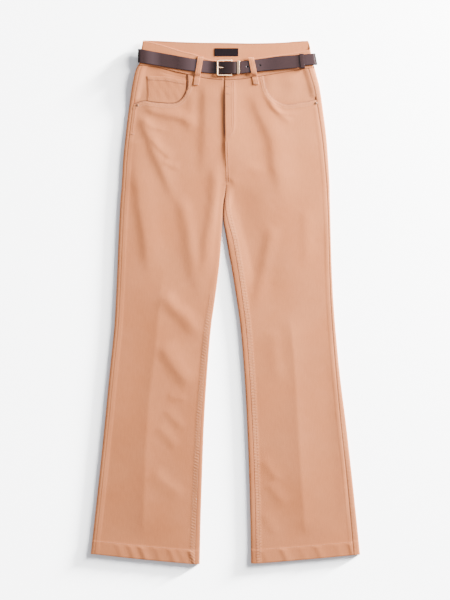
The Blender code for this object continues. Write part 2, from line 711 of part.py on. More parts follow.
def front_loop(side, name, x_top, x_low, belt, belt_top_z, drops, group):
    """A front loop: down the waistband, over the belt, and onto the panel."""
    top_drop, low_drop = drops
    rest = WAIST_LIFT + 2 * EDGE_RADIUS + SEAM_GAP + LOOP / 2
    over = belt_top_z + SEAM_GAP + LOOP / 2
    x_mid = (x_top + x_low) / 2
    belt_up, belt_low = belt_edge(belt, x_mid)
    slope = abs(belt_edge(belt, x_mid + LOOP_WIDTH / 2)[0] - belt_up)
    run = ((top_drop, rest), (belt_up - 4.5 - slope, rest), (belt_up - 1.8 - slope, over),
           ((belt_up + belt_low) / 2, over + 0.1), (belt_low + 1.8 + slope, over),
           (belt_low + 5.5 + slope, rest), (mix(belt_low, low_drop, 0.6), rest),
           (low_drop, rest))
    stations = []
    for drop, z in run:
        t = (drop - top_drop) / (low_drop - top_drop)
        x = mix(x_top, x_low, t)
        if drop > belt_low + 3:
            z = front_height(side, x, drop) + SEAM_GAP + 0.15 + LOOP / 2
            if side > 0:
                z += fly_rise(x, drop)
        stations.append((x, drop, z))
    return make_loop(name, stations, group)


def back_loop(name, x, group):
    belt_up, belt_low = belt_edge(BELT_BACK_RUN, x)
    high, low = WAIST_LIFT - SEAM_GAP - LOOP / 2, LOOP / 2
    run = ((7.5, high), (belt_up - 6.0, high), (belt_up - 2.5, low),
           (belt_low + 2.0, low), (belt_low + 5.5, high), (belt_low + 14, high))
    return make_loop(name, [(x, drop, z) for drop, z in run], group)


# ---------------------------------------------------------------- belt and buckle

def belt_edge(table, x):
    return (curve_at([(row[0], row[1]) for row in table], x),
            curve_at([(row[0], row[2]) for row in table], x))


def belt_path():
    """The one strap's middle line from its fold at the buckle, round the waist, to its
    tip: (upper x, lower x, z, normal, thickness, table of its edges)."""
    up = Vector((0, 0, 1))
    path = []
    middle = SKIVED / 2 + BAR_RADIUS + SEAM_GAP
    path.append((22.5, 22.5, HINGE_Z - middle - 0.1, -up, SKIVED, BELT_UNDER_RUN))
    for k in range(7):                                   # round the hinge bar
        angle = math.radians(-90 - 30 * k)
        out = Vector((math.cos(angle), 0, math.sin(angle)))
        x = HINGE_X + middle * out.x
        path.append((x, x, HINGE_Z + middle * out.z, out, SKIVED, BELT_UNDER_RUN))
    path += tilted(UNDER_FALL, BELT_UNDER_RUN, first_thickness=1.6)
    for side, top_z in ((1, BELT_RIGHT_Z), (-1, BELT_FRONT_Z)):
        front = BELT_UNDER_RUN if side > 0 else BELT_LEFT_RUN
        for inset, z, normal in side_bend(side, BELT_BACK_Z, top_z, 8, side > 0):
            x_up, x_low = [side * (edge - LEATHER / 2 - inset) for edge in BELT_SIDE[side]]
            table = front if z > (BELT_BACK_Z + top_z) / 2 else BELT_BACK_RUN
            path.append((x_up, x_low, z, normal, LEATHER, table))
        if side > 0:
            for k in range(1, 12):
                x = mix(170, -170, k / 12)
                path.append((x, x, BELT_BACK_Z, -up, LEATHER, BELT_BACK_RUN))
    left = [(x, BELT_FRONT_Z) for x in (-165, -148, -130, -110, -90, -70, -50, -32, -18)]
    path += tilted(left, BELT_LEFT_RUN)
    path += tilted(FREE_RISE, BELT_FREE_RUN)
    return path


def tilted(run, table, first_thickness=LEATHER):
    """Stations of a run along x, with the normal square to its slope."""
    stations = []
    for k, (x, z) in enumerate(run):
        before, after = run[max(k - 1, 0)], run[min(k + 1, len(run) - 1)]
        normal = Vector((before[1] - after[1], 0, after[0] - before[0])).normalized()
        stations.append((x, x, z, normal, LEATHER if k else first_thickness, table))
    return stations


def make_belt(group, cutters):
    rings = []
    for x_up, x_low, z, normal, thickness, table in belt_path():
        upper, lower = belt_edge(table, x_up)[0], belt_edge(table, x_low)[1]
        rings.append(band_ring(point(x_up, upper, z), point(x_low, lower, z),
                               normal, thickness))
    upper, lower = belt_edge(BELT_FREE_RUN, BELT_TIP_X)
    for back, in_from_edge in ((2.5, 2.5), (0.0, 8.0)):      # the tip's rounded end
        ends = [point(BELT_TIP_X - back, drop, BELT_TIP_Z)
                for drop in (upper + in_from_edge, lower - in_from_edge)]
        rings.append(band_ring(*ends, Vector((0, 0, 1)), LEATHER))
    belt = loft("belt_strap", rings, LEATHER_COLOUR, 0.45, group)
    for k, (x, reach, bottom) in enumerate(HOLES):
        middle = sum(belt_edge(BELT_FREE_RUN, x)) / 2
        outline = []
        for n in range(12):
            angle = 2 * math.pi * (n + 0.5) / 12
            shift = math.copysign(reach, math.cos(angle))
            outline.append((x + shift + HOLE_RADIUS * math.cos(angle),
                            middle + HOLE_RADIUS * math.sin(angle)))
        cut(belt, prism("belt_hole_%d" % k, outline, bottom, 18.0, cutters))
    middle = sum(belt_edge(BELT_UNDER_RUN, HINGE_X)) / 2
    cut(belt, box_cutter("fold_slot", point(SLOT_X[0], middle + SLOT_HALF, SLOT_Z[0]),
                         point(SLOT_X[1], middle - SLOT_HALF, SLOT_Z[1]), cutters))
    return belt


def rod(name, points, radius, group):
    """A round bar along points, as a mesh with welded ends."""
    curve = bpy.data.curves.new(name, "CURVE")
    curve.dimensions = "3D"
    curve.bevel_depth = radius * MM
    curve.bevel_resolution = 2
    curve.use_fill_caps = True
    spline = curve.splines.new("POLY")
    spline.points.add(len(points) - 1)
    for knot, place in zip(spline.points, points):
        knot.co = (*point(*place), 1.0)
    drawn = bpy.data.objects.new(name + "_line", curve)
    group.objects.link(drawn)
    bpy.context.view_layer.update()
    mesh = bpy.data.meshes.new_from_object(
        drawn.evaluated_get(bpy.context.evaluated_depsgraph_get()))
    bpy.data.objects.remove(drawn)
    bm = bmesh.new()
    bm.from_mesh(mesh)
    bmesh.ops.remove_doubles(bm, verts=bm.verts, dist=WELD)
    bmesh.ops.recalc_face_normals(bm, faces=bm.faces)
    return mesh_from(bm, name)


def make_buckle_frame(group, cutters):
    """Square-cornered frame; its right side is the hinge bar inside the strap's fold."""
    left, right = FRAME_X
    upper, lower = FRAME_DROP
    half = [size / 2 * MM / math.cos(math.pi / 8) for size in FRAME_BAR]
    path = [(right, upper, HINGE_Z), (right - 6, upper, mix(HINGE_Z, FRAME_LEFT_Z, 0.2))]
    for degrees in (0, 30, 60, 90):
        angle = math.radians(degrees)
        path.append((left + FRAME_CORNER * (1 - math.sin(angle)),
                     upper + FRAME_CORNER * (1 - math.cos(angle)), FRAME_LEFT_Z))
    path += [(x, upper + lower - drop, z) for x, drop, z in reversed(path)]
    rings = []
    for k, place in enumerate(path):
        before, after = path[max(k - 1, 0)], path[min(k + 1, len(path) - 1)]
        along = (point(*after) - point(*before)).normalized()
        across = Vector((0, 0, 1)).cross(along).normalized()
        up = along.cross(across).normalized()
        angles = [math.pi * (n + 0.5) / 4 for n in range(8)]
        rings.append([point(*place) + across * half[0] * math.cos(a) + up * half[1] * math.sin(a)
                      for a in angles])
    frame = loft("buckle_frame", rings, BRASS_COLOUR, 0.3, group, metallic=1.0)
    ends = [(right, upper - 0.8, HINGE_Z), (right, lower + 0.8, HINGE_Z)]
    cut(frame, cutter("hinge_bar", rod("hinge_bar", ends, BAR_RADIUS, cutters), cutters),
        "UNION")
    return frame


def make_prong(group, cutters):
    """A rod with an eye round the hinge bar; its tip rests on the frame's left bar."""
    middle = sum(belt_edge(BELT_UNDER_RUN, HINGE_X)) / 2
    eye = BAR_RADIUS + SEAM_GAP + PRONG_EYE_WALL
    tip_z = FRAME_LEFT_Z + FRAME_BAR[1] / 2 + SEAM_GAP + PRONG_RADIUS * 0.9
    tip_drop = sum(belt_edge(BELT_LEFT_RUN, -15)) / 2
    line = [(HINGE_X - eye + 0.5, middle, HINGE_Z), (4.0, middle, HINGE_Z),
            (0.0, mix(middle, tip_drop, 0.3), HINGE_Z + 0.5),
            (-13.0, tip_drop, tip_z - 0.3), (-16.8, tip_drop, tip_z)]
    mesh = rod("buckle_prong", line, PRONG_RADIUS, cutters)
    prong = add_object("buckle_prong", mesh, BRASS_COLOUR, 0.3, group, metallic=1.0)
    rings = []
    for k in range(14):
        angle = 2 * math.pi * k / 14
        ring = []
        for reach, across in ((eye - PRONG_EYE_WALL, -1), (eye, -1), (eye, 1),
                              (eye - PRONG_EYE_WALL, 1)):
            ring.append(point(HINGE_X + reach * math.cos(angle),
                              middle + across * PRONG_EYE_HALF,
                              HINGE_Z + reach * math.sin(angle)))
        rings.append(ring)
    loop = loft("prong_eye", rings, BRASS_COLOUR, 0.3, cutters, closed=True)
    loop.hide_render = True
    loop.display_type = "WIRE"
    cut(prong, loop, "UNION")
    return prong


def make_keeper(name, size, colour, roughness, metallic, group):
    """Flat ring round both layers of the strap: a tube with four flat sides."""
    rings = []
    for x_edge, reach in ((size.x[0], 0.0), (size.x[1], 0.0),
                          (size.x[1], size.wall), (size.x[0], size.wall)):
        upper, lower = size.drop[0] + reach, size.drop[1] - reach
        floor, top = size.z[0] + reach, size.z[1] - reach
        ring = []
        for drop, z in ((upper, floor), (lower, floor), (lower, top), (upper, top)):
            along = (drop - size.drop[0]) / (size.drop[1] - size.drop[0])
            ring.append(point(x_edge + size.lean * (along - 0.5), drop, z))
        rings.append(ring)
    return loft(name, rings, colour, roughness, group, metallic, closed=True)


# ---------------------------------------------------------------- small pieces

def make_rivet(side, name, group):
    w, drop = RIVET_AT[side]
    base = front_height(side, side * w, drop) + SEAM_GAP
    rings = []
    for reach, z in ((1.0, 0.0), (1.0, 0.45), (0.72, 0.9), (0.3, 1.0)):
        rings.append([point(side * w + RIVET_RADIUS * reach * math.cos(2 * math.pi * k / 12),
                            drop + RIVET_RADIUS * reach * math.sin(2 * math.pi * k / 12),
                            base + RIVET_HEIGHT * z) for k in range(12)])
    return loft(name, rings, RIVET_COLOUR, 0.45, group, metallic=1.0)


def make_label(group):
    z = WAIST_LIFT + WAISTBAND + SEAM_GAP
    rings = [[point(x, LABEL_DROP[0], z), point(x, LABEL_DROP[1], z),
              point(x, LABEL_DROP[1], z + LABEL_THICKNESS),
              point(x, LABEL_DROP[0], z + LABEL_THICKNESS)] for x in LABEL_X]
    return loft("label", rings, LABEL_COLOUR, 0.8, group)


# ---------------------------------------------------------------- the garment

def main():
    clear_scene()
    garment = collection("bootcut_jeans")
    cutters = collection("cutters")

    make_front(-1, "front_right", garment, cutters)
    make_front(1, "front_left", garment, cutters)
    make_back(-1, "back_right", garment)
    make_back(1, "back_left", garment)
    make_facing(-1, "pocket_facing_right", garment)
    make_facing(1, "pocket_facing_left", garment)
    make_coin_pocket(garment)
    make_fly_shield(garment)
    make_waistband(garment)

    make_belt(garment, cutters)
    make_buckle_frame(garment, cutters)
    make_prong(garment, cutters)
    make_keeper("keeper_metal", METAL_KEEPER, BRASS_COLOUR, 0.3, 1.0, garment)
    make_keeper("keeper_leather", LEATHER_KEEPER, LEATHER_COLOUR, 0.45, 0.0, garment)

    belt_top = BELT_FRONT_Z + LEATHER / 2
    free_top = belt_top + SEAM_GAP + LEATHER + 0.1
    front_loop(-1, "loop_front_right", -51.0, -61.0, BELT_LEFT_RUN, belt_top,
               (31.5, 93.0), garment)
    front_loop(1, "loop_front_left", 54.5, 65.5, BELT_FREE_RUN, free_top,
               (35.5, 91.5), garment)
    back_loop("loop_back_right", -108.0, garment)
    back_loop("loop_back_centre", 0.0, garment)
    back_loop("loop_back_left", 108.0, garment)

    make_rivet(-1, "rivet_right", garment)
    make_rivet(1, "rivet_left", garment)
    make_label(garment)


main()
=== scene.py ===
"""Bootcut jeans with their own leather belt, laid flat on their back.

Tables are in millimetres: `x` from the centre line towards the wearer's left, and `drop`
down from the top of the back waist.  The finished meshes are in metres.
"""
import math

import bmesh
import bpy
import numpy as np
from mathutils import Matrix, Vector


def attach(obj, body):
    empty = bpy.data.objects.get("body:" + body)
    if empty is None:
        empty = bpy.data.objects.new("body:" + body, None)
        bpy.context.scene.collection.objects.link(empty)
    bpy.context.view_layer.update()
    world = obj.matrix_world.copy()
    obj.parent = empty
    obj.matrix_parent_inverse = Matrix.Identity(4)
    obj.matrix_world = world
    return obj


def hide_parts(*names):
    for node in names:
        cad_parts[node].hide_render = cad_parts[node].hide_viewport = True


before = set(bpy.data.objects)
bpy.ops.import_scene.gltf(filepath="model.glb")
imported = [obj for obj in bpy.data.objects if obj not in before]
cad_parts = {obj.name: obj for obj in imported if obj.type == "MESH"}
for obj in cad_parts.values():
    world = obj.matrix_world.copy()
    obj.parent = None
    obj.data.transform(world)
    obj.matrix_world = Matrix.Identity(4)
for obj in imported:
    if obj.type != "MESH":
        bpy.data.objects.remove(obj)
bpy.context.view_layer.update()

# ================================================================ the room
# A white light table, a broad soft light from above and a low soft key close by on the
# upper right, which rakes across the folds.  Two washes from the same side, a tight one
# and a wide one, whiten only the table.  The camera looks straight down from far above.

VIEW_HEIGHT = 1.26                    # the picture's height on the table, in metres
CAMERA_UP, CAMERA_AT, SENSOR = 6.0, (-0.0005, 0.0064), 36.0
TABLE_HALF, TABLE_TOP = 30.0, -0.0003
KEY_FROM = (0.80, 0.50, 0.26)         # towards the key light
KEY_AWAY, KEY_SIZE, KEY_POWER = 2.4, 1.0, 488.0
# washes: towards the light, strength, degrees across
WASHES = (((0.80, 0.50, 0.086), 138.0, 5), ((0.80, 0.50, 0.24), 24.0, 24))
SKY_COLOUR, SKY_STRENGTH = (0.94, 0.955, 1.03), 0.70
TABLE_GLOW = 0.06


def feed(tree, node, inputs):
    """Give each input, by its name or number, a value or another node's socket."""
    for key, value in inputs.items():
        if isinstance(value, bpy.types.NodeSocket):
            tree.links.new(value, node.inputs[key])
        else:
            node.inputs[key].default_value = value
    return node


def add(tree, kind, inputs=None, **settings):
    node = tree.nodes.new(kind)
    for key, value in settings.items():
        setattr(node, key, value)
    return feed(tree, node, inputs or {})


def blend(tree, share, first, second):
    """The first colour turning to the second as the share goes from 0 to 1."""
    return add(tree, "ShaderNodeMix", {0: share, 6: first, 7: second},
               data_type="RGBA").outputs[2]


def new_material(name):
    """An empty material with its Principled shader, as (material, tree, shader)."""
    material = bpy.data.materials.new(name)
    material.use_nodes = True
    return material, material.node_tree, material.node_tree.nodes["Principled BSDF"]


def mesh_object(name, points, faces, edges=()):
    mesh = bpy.data.meshes.new(name)
    mesh.from_pydata([tuple(p) for p in points], edges, [tuple(f) for f in faces])
    mesh.update()
    item = bpy.data.objects.new(name, mesh)
    bpy.context.scene.collection.objects.link(item)
    return item


table_finish, tree, shader = new_material("white_table")
place = add(tree, "ShaderNodeTexCoord").outputs["Object"]
speckle = add(tree, "ShaderNodeTexNoise", {"Vector": place, "Scale": 3.0, "Detail": 2.0})
tone = blend(tree, speckle.outputs["Fac"], (0.90, 0.905, 0.91, 1), (0.92, 0.925, 0.93, 1))
feed(tree, shader, {"Base Color": tone, "Roughness": 0.75, "Specular IOR Level": 0.2,
                    "Emission Color": (1, 1, 1, 1), "Emission Strength": TABLE_GLOW})
table = mesh_object("table_top", [(x * TABLE_HALF, y * TABLE_HALF, TABLE_TOP)
                                  for x, y in ((-1, -1), (1, -1), (1, 1), (-1, 1))],
                    [(0, 1, 2, 3)])
table.data.materials.append(table_finish)

world = bpy.data.worlds.new("studio")
bpy.context.scene.world = world
world.use_nodes = True
feed(world.node_tree, world.node_tree.nodes["Background"],
     {"Color": (*SKY_COLOUR, 1), "Strength": SKY_STRENGTH})


def place_light(light_data, towards, receivers=None):
    """Put a light off in a direction; receivers are the only objects that it lights."""
    light = bpy.data.objects.new(light_data.name, light_data)
    light.location = Vector(towards).normalized() * KEY_AWAY
    light.rotation_mode = "QUATERNION"
    light.rotation_quaternion = Vector(towards).to_track_quat("Z", "Y")
    bpy.context.scene.collection.objects.link(light)
    if receivers:
        light.light_linking.receiver_collection = receivers


key_data = bpy.data.lights.new("key", "AREA")
key_data.shape, key_data.size = "DISK", KEY_SIZE
key_data.energy = KEY_POWER
key_data.color = (1.0, 0.99, 0.97)
place_light(key_data, KEY_FROM)
washed = bpy.data.collections.new("washed_table")
washed.objects.link(table)
for towards, strength, spread in WASHES:
    wash_data = bpy.data.lights.new("table_wash", "SUN")
    wash_data.energy, wash_data.angle = strength, math.radians(spread)
    place_light(wash_data, towards, washed)

camera_data = bpy.data.cameras.new("overhead")
camera_data.sensor_width = SENSOR
camera_data.lens = SENSOR * CAMERA_UP / VIEW_HEIGHT
camera_data.clip_end = 100
camera = bpy.data.objects.new("overhead", camera_data)
camera.location = (*CAMERA_AT, CAMERA_UP)
bpy.context.scene.collection.objects.link(camera)
bpy.context.scene.camera = camera

# ================================================================ the two front panels
# Peach-tan cotton twill with a little stretch, 1.2 mm thick, cut with a scoop at each
# front pocket.  Each leg is a flattened tube: the front lies on the back, and the
# panels meet in a plain side seam and a felled, twice-stitched inseam.

MM = 0.001
HALF_LENGTH, MIDDLE_X = 549.25, 0.52   # the frame's origin, from the top and the centre line
DENIM, EDGE_RADIUS, SEAM_GAP = 1.2, 2.6, 0.3
JOIN = 0.12                            # between the two panels of a visible seam
# how deep each leg's side seam sinks, and how strongly shade is painted into it
SEAM_DEPTH, SEAM_SHADE = {-1: 0.15, 1: 0.4}, {-1: 0.08, 1: 0.7}
EDGE_SLACK, EDGE_SOFT = 1.3, 3.6       # how the cloth falls away towards a folded edge
EDGE_FADE, FORK_OPENS = 16.0, 30.0     # where the folds fade out, and where the legs part
WAIST_LIFT, LIFT_START, LIFT_END = 4.1, 70.0, 150.0
FORK_X, FORK_DROP = 2.4, 303.0
HEM_OUT, HEM_IN, HEM_BULGE = {-1: 1076.0, 1: 1077.3}, {-1: 1097.0, 1: 1095.6}, 1.2
HEM_BAND, HEM_RISE = 29.0, 0.6
# puckers where the hem is twisted: x at the hem line, height; each leans LEAN per drop
HEM_PUCKERS = ((-228, 0.5), (-203, 0.8), (-179, 1.1), (-148, 0.4), (-118, 0.7), (-97, 0.4),
               (-75, 1.1), (76, 0.4), (118, 0.9), (156, 0.4), (190, 0.7), (230, 0.4),
               (258, 0.6))
PUCKER_LEAN, PUCKER_LEFT, PUCKER_RIGHT = 0.42, 4.6, 9.0
TOP_ROW, ROW_STEP, HEM_ROW_STEP = 65.0, 2.0, 1.5
OUTER, INNER, SEAM_OUT, SEAM_IN = 1, 2, 3, 4      # columns of LEG
# drop, outer edge, inner edge (the centre-back seam above the fork), and how far inside
# the edges the side seam and the inseam lie; -1 is the wearer's right leg
LEG = {
    -1: np.array([
        (52, 183.0, 0.0, 8.5, 0.2), (60, 187.0, 0.0, 9.0, 0.2), (75, 191.0, -0.4, 9.5, 0.2),
        (100, 196.0, -0.8, 9.5, 0.2), (150, 203.0, -1.2, 8.0, 0.2),
        (200, 209.0, -1.6, 8.0, 0.2), (250, 214.0, -2.0, 8.0, 0.2),
        (303, 217.0, -2.4, 8.0, 0.2), (323, 218.7, 0.0, 8.0, 0.6),
        (340, 220.0, 2.8, 8.0, 1.0), (360, 221.0, 4.4, 8.0, 1.4),
        (380, 222.0, 5.6, 8.0, 1.8), (420, 223.8, 8.0, 8.0, 2.2),
        (450, 225.0, 9.9, 8.0, 2.4), (480, 226.2, 12.8, 8.0, 2.6), (540, 229.0, 20.6, 8.0, 3.0),
        (600, 232.5, 28.9, 8.0, 3.6), (700, 242.6, 37.4, 8.0, 4.6),
        (800, 252.3, 43.6, 8.0, 6.2), (900, 262.5, 47.3, 8.0, 7.8),
        (1000, 273.4, 50.5, 8.0, 9.2), (1100, 284.5, 52.8, 8.0, 10.0)]),
    1: np.array([
        (52, 185.5, 0.4, 13.0, 0.2), (60, 188.0, 0.4, 12.5, 0.2), (75, 192.2, 0.6, 12.0, 0.2),
        (100, 198.8, 0.8, 11.3, 0.2), (150, 206.4, 1.2, 10.4, 0.2),
        (200, 212.8, 1.6, 9.3, 0.2), (250, 216.9, 2.0, 8.1, 0.2),
        (303, 219.8, 2.4, 6.4, 0.2), (323, 220.2, -0.2, 5.8, 0.6),
        (340, 220.6, -3.0, 5.3, 2.6), (360, 221.1, -4.6, 4.9, 6.8),
        (380, 221.6, -3.6, 4.6, 10.1), (400, 222.1, 0.0, 4.6, 12.0),
        (420, 222.6, 3.4, 4.6, 13.4), (450, 223.4, 8.6, 4.8, 13.6),
        (480, 224.4, 14.4, 5.0, 12.8), (540, 227.4, 24.0, 5.9, 12.0),
        (600, 231.8, 32.4, 6.7, 11.2), (700, 241.4, 40.7, 8.0, 10.6),
        (800, 253.9, 46.2, 11.1, 10.6), (900, 265.3, 50.2, 11.5, 10.8),
        (1000, 276.0, 53.0, 12.6, 10.6), (1100, 286.0, 54.7, 13.9, 10.5)]),
}
CENTRE_FRONT = ((60, -1.8), (100, -1.3), (150, -1.5), (200, -1.2), (217, -0.8), (260, 0.8),
                (303, 2.4))
WAIST_SEAM = ((-190, 51.5), (-165, 51.8), (-145, 53.6), (-117, 61.0), (-80, 69.4),
              (-52, 75.8), (-20, 80.2), (-4, 81.2), (30, 79.8), (52, 76.8), (80, 72.6),
              (110, 67.6), (140, 62.2), (165, 58.4), (190, 55.4))
WAIST_OUT_X, WAIST_IN_X = 180.0, -4.0  # where the waist seam ends on a front panel
POCKET_EDGE = {
    -1: ((79.5, 60), (78.8, 72), (78.6, 82), (79.6, 98), (84, 110), (90.5, 120),
         (99.5, 127.5), (112, 130.4), (136, 129.4), (156, 127.2), (168, 125.6),
         (180, 128.0), (187, 130.6), (206, 133)),
    1: ((81, 60), (82, 74), (84, 86), (89, 103), (98.5, 117), (110, 125.6),
        (123.5, 131.6), (138, 132.2), (155, 129.4), (173, 126.6), (186, 123.4),
        (206, 122)),
}
FLY_WIDTH, FLY_BEND, FLY_END, FLY_RISE = 22.5, 172.0, 207.0, 0.5
# folds: height (below zero for a trough), half widths on the two sides of the line (the
# photograph's left first for a line that runs down, the lower first for one that runs
# across), and (x, drop) points along the line
FOLDS = (
    # the wearer's right hip and leg
    (2.7, 14, 32, ((-184, 250), (-181, 300), (-176, 345), (-171, 385), (-166, 420),
                   (-160, 460), (-152, 515))),
    (0.6, 12, 20, ((-186, 205), (-185, 235), (-183, 290))),
    (2.1, 10, 16, ((-183, 150), (-173, 167), (-166, 185), (-158, 202), (-151, 223),
                   (-145, 241), (-137, 258), (-126, 284), (-110, 320), (-100, 350))),
    (1.9, 14, 15, ((-96, 318), (-86, 355), (-78, 395), (-72, 441), (-63, 490), (-46, 552))),
    (2.1, 9, 15, ((-181, 131), (-152, 146), (-128, 150), (-105, 156), (-89, 162),
                  (-77, 174), (-72, 198))),
    (0.7, 6, 8, ((-172, 160), (-164, 173), (-152, 181), (-133, 184), (-120, 182))),
    (1.0, 5, 14, ((-157, 202), (-140, 222), (-124, 238), (-108, 246))),
    (0.8, 6, 8, ((-132, 250), (-112, 260), (-92, 264))),
    (0.9, 13, 10, ((-69, 100), (-69, 140), (-71, 192))),
    (2.3, 13, 32, ((-40, 70), (-39, 130), (-40, 175), (-41, 225), (-45, 302))),
    (2.0, 12, 14, ((-24, 250), (-21, 296), (-23, 340), (-33, 398), (-43, 471), (-50, 522))),
    (2.4, 15, 15, ((-135, 530), (-108, 556), (-84, 579), (-44, 628))),
    (2.3, 15, 22, ((-137, 630), (-110, 670), (-91, 701), (-66, 728))),
    (0.6, 8, 10, ((-122, 744), (-100, 748), (-78, 752))),
    (0.8, 10, 12, ((-126, 768), (-106, 792), (-84, 816))),
    (0.9, 11, 13, ((-143, 806), (-120, 832), (-98, 856))),
    (1.1, 18, 12, ((-155, 898), (-118, 934), (-84, 960))),
    # the fly and the wearer's left leg
    (3.2, 5, 42, ((1, 60), (0, 150), (1, 205), (4, 285))),
    (2.6, 14, 30, ((50, 98), (62, 120), (71, 141), (82, 164), (93, 187), (101, 207),
                   (104, 234), (107, 258), (114, 284), (119, 320), (120, 385))),
    (1.0, 4, 8, ((76, 102), (88, 123), (101, 140), (115, 149), (136, 153), (160, 154))),
    (1.2, 8, 6, ((88, 120), (102, 138), (114, 150), (127, 161), (148, 169))),
    (1.5, 14, 14, ((4, 298), (24, 280), (50, 266), (94, 268))),
    (-3.0, 17, 48, ((10, 296), (26, 345), (42, 400), (56, 450), (62, 505), (54, 575))),
    (1.7, 12, 16, ((100, 380), (89, 440), (77, 497), (60, 575))),
    (0.7, 10, 16, ((168, 345), (170, 420), (172, 480))),
    (0.8, 18, 12, ((100, 600), (104, 660), (112, 725))),
    (0.8, 11, 12, ((76, 874), (96, 900), (118, 926))),
    (0.8, 11, 12, ((88, 924), (108, 950), (130, 976))),
    (0.7, 11, 12, ((76, 986), (94, 1012), (112, 1040))),
    (1.1, 16, 6, ((222, 540), (233, 680), (239, 760), (248, 880), (253, 973), (257, 1040))),
)
# pressed creases down the legs: height of the roof-shaped ridge, its reach, its line
CREASES = (
    (2.2, 30, ((-127, 462), (-141, 590), (-150, 680), (-160, 753), (-167, 870), (-173, 1060))),
    (2.6, 32, ((134, 560), (145, 667), (152, 790), (160, 912), (170, 1045))),
)
# shares of a line over which a fold or a crease rises at its start and sinks at its end
FOLD_ENDS, CREASE_ENDS = (0.18, 0.3), (0.15, 0.08)
FOLD_LOWEST, FOLD_HIGHEST = -3.3, 4.5


def curve_at(points, at):
    """Smooth curve through (position, value) points, straight beyond its ends."""
    xs, ys = np.asarray(points, float).T
    at = np.asarray(at, float)
    last = len(xs) - 1
    low, high = np.maximum(np.arange(last + 1) - 1, 0), np.minimum(np.arange(last + 1) + 1, last)
    slope = (ys[high] - ys[low]) / (xs[high] - xs[low])
    i = np.clip(np.searchsorted(xs, at) - 1, 0, last - 1)
    width = xs[i + 1] - xs[i]
    t = np.clip((at - xs[i]) / width, 0.0, 1.0)
    value = (ys[i] * (1 + 2 * t) * (1 - t) ** 2 + ys[i + 1] * t * t * (3 - 2 * t)
             + width * (slope[i] * t * (1 - t) ** 2 - slope[i + 1] * t * t * (1 - t)))
    beyond = np.where(at < xs[0], slope[0] * (at - xs[0]), 0.0)
    return value + beyond + np.where(at > xs[-1], slope[-1] * (at - xs[-1]), 0.0)


def leg_at(side, column, drop):
    return curve_at(LEG[side][:, (0, column)], drop)


def side_seam(side, drop):
    """The side seam, as a distance outward from the centre line."""
    return leg_at(side, OUTER, drop) - leg_at(side, SEAM_OUT, drop)


def inner_edge(side, drop):
    """The leg's inner edge, or the centre-back seam above the fork."""
    legs = LEG[side][:, (0, INNER)]
    above, below = legs[legs[:, 0] <= FORK_DROP], legs[legs[:, 0] >= FORK_DROP]
    return np.where(np.asarray(drop) >= FORK_DROP, curve_at(below, drop),
                    curve_at(above, drop))


def mix(a, b, t):
    return a + (b - a) * t


def between(count):
    """Even steps between 0 and 1, without either."""
    return np.linspace(0, 1, count + 2)[1:-1]


def smooth(t):
    t = np.clip(t, 0.0, 1.0)
    return t * t * (3 - 2 * t)


def in_frame(x, drop, z):
    """Table millimetres to points in the frame's metres, one row for each."""
    return np.stack(np.broadcast_arrays(np.subtract(x, MIDDLE_X),
                                        np.subtract(HALF_LENGTH, drop), z), -1) * MM


def line_distance(route, x, drop):
    """Distance of each point from a line of (x, drop) points, how far along, 0 to 1, and
    whether it lies on the line's first side."""
    best, along = np.full(np.shape(x), 1e9), np.zeros(np.shape(x))
    first_side = np.zeros(np.shape(x), bool)
    for i, (a, b) in enumerate(zip(route, route[1:])):
        dx, dy = b[0] - a[0], b[1] - a[1]
        t = np.clip(((x - a[0]) * dx + (drop - a[1]) * dy) / (dx * dx + dy * dy), 0, 1)
        away = np.hypot(x - a[0] - t * dx, drop - a[1] - t * dy)
        nearer = away < best
        best, along = np.where(nearer, away, best), np.where(nearer, i + t, along)
        side = dx * (drop - a[1]) - dy * (x - a[0]) > 0
        first_side = np.where(nearer, side, first_side)
    return best, along / (len(route) - 1), first_side


def wander(x, drop, size, seed):
    """Slow wavy noise between about -1 and 1: a few sines that don't repeat."""
    dice = np.random.default_rng(seed)
    total = 0.0
    for k in range(5):
        angle, phase = dice.uniform(0, 2 * math.pi, 2)
        pitch = size * dice.uniform(0.6, 1.6)
        total = total + np.sin((x * math.cos(angle) + drop * math.sin(angle))
                               * 2 * math.pi / pitch + phase)
    return total / 3.0


def lift(drop):
    return WAIST_LIFT * (1 - smooth((drop - LIFT_START) / (LIFT_END - LIFT_START)))


def fade_ends(t, shares):
    return smooth(t / shares[0]) * smooth((1 - t) / shares[1])


def folds(x, drop):
    """Height of the folds, the pressed creases and the cloth's slow unevenness."""
    total = np.zeros(np.shape(x))
    # no fold runs quite straight
    drawn = x + 1.1 * wander(x, drop, 55, 31), drop + 1.4 * wander(x, drop, 60, 32)
    for height, first, second, route in FOLDS:
        away, t, on_first = line_distance(route, *drawn)
        across = np.exp(-(away / np.where(on_first, first, second)) ** 2)
        total += height * fade_ends(t, FOLD_ENDS) * across
    for height, width, route in CREASES:
        away, t, _ = line_distance(route, x, drop)
        roof = np.exp(-np.sqrt(away ** 2 + 0.5) / width) - 0.2
        total += height * fade_ends(t, CREASE_ENDS) * roof
    total += 0.30 * wander(x, drop, 95.0, 4) + 0.03 * wander(x, drop, 26.0, 9)
    return np.clip(total, FOLD_LOWEST, FOLD_HIGHEST)


def rim_height(inside):
    """Height of the folded edge's round, at a distance inside the edge."""
    down = EDGE_RADIUS - np.clip(inside, 0.0, EDGE_RADIUS)
    return EDGE_RADIUS + np.sqrt(EDGE_RADIUS ** 2 - down ** 2)


def across_leg(side, x, drop):
    """How far across its leg a point lies, 0 at the outer edge and 1 at the inner one."""
    outer = leg_at(side, OUTER, drop)
    return (outer - side * x) / np.maximum(outer - inner_edge(side, drop), 1.0)


def hem_curve(share):
    """How far the hem hangs below a straight line, at a share of the way across the leg."""
    return HEM_BULGE * 4 * share * (1 - share)


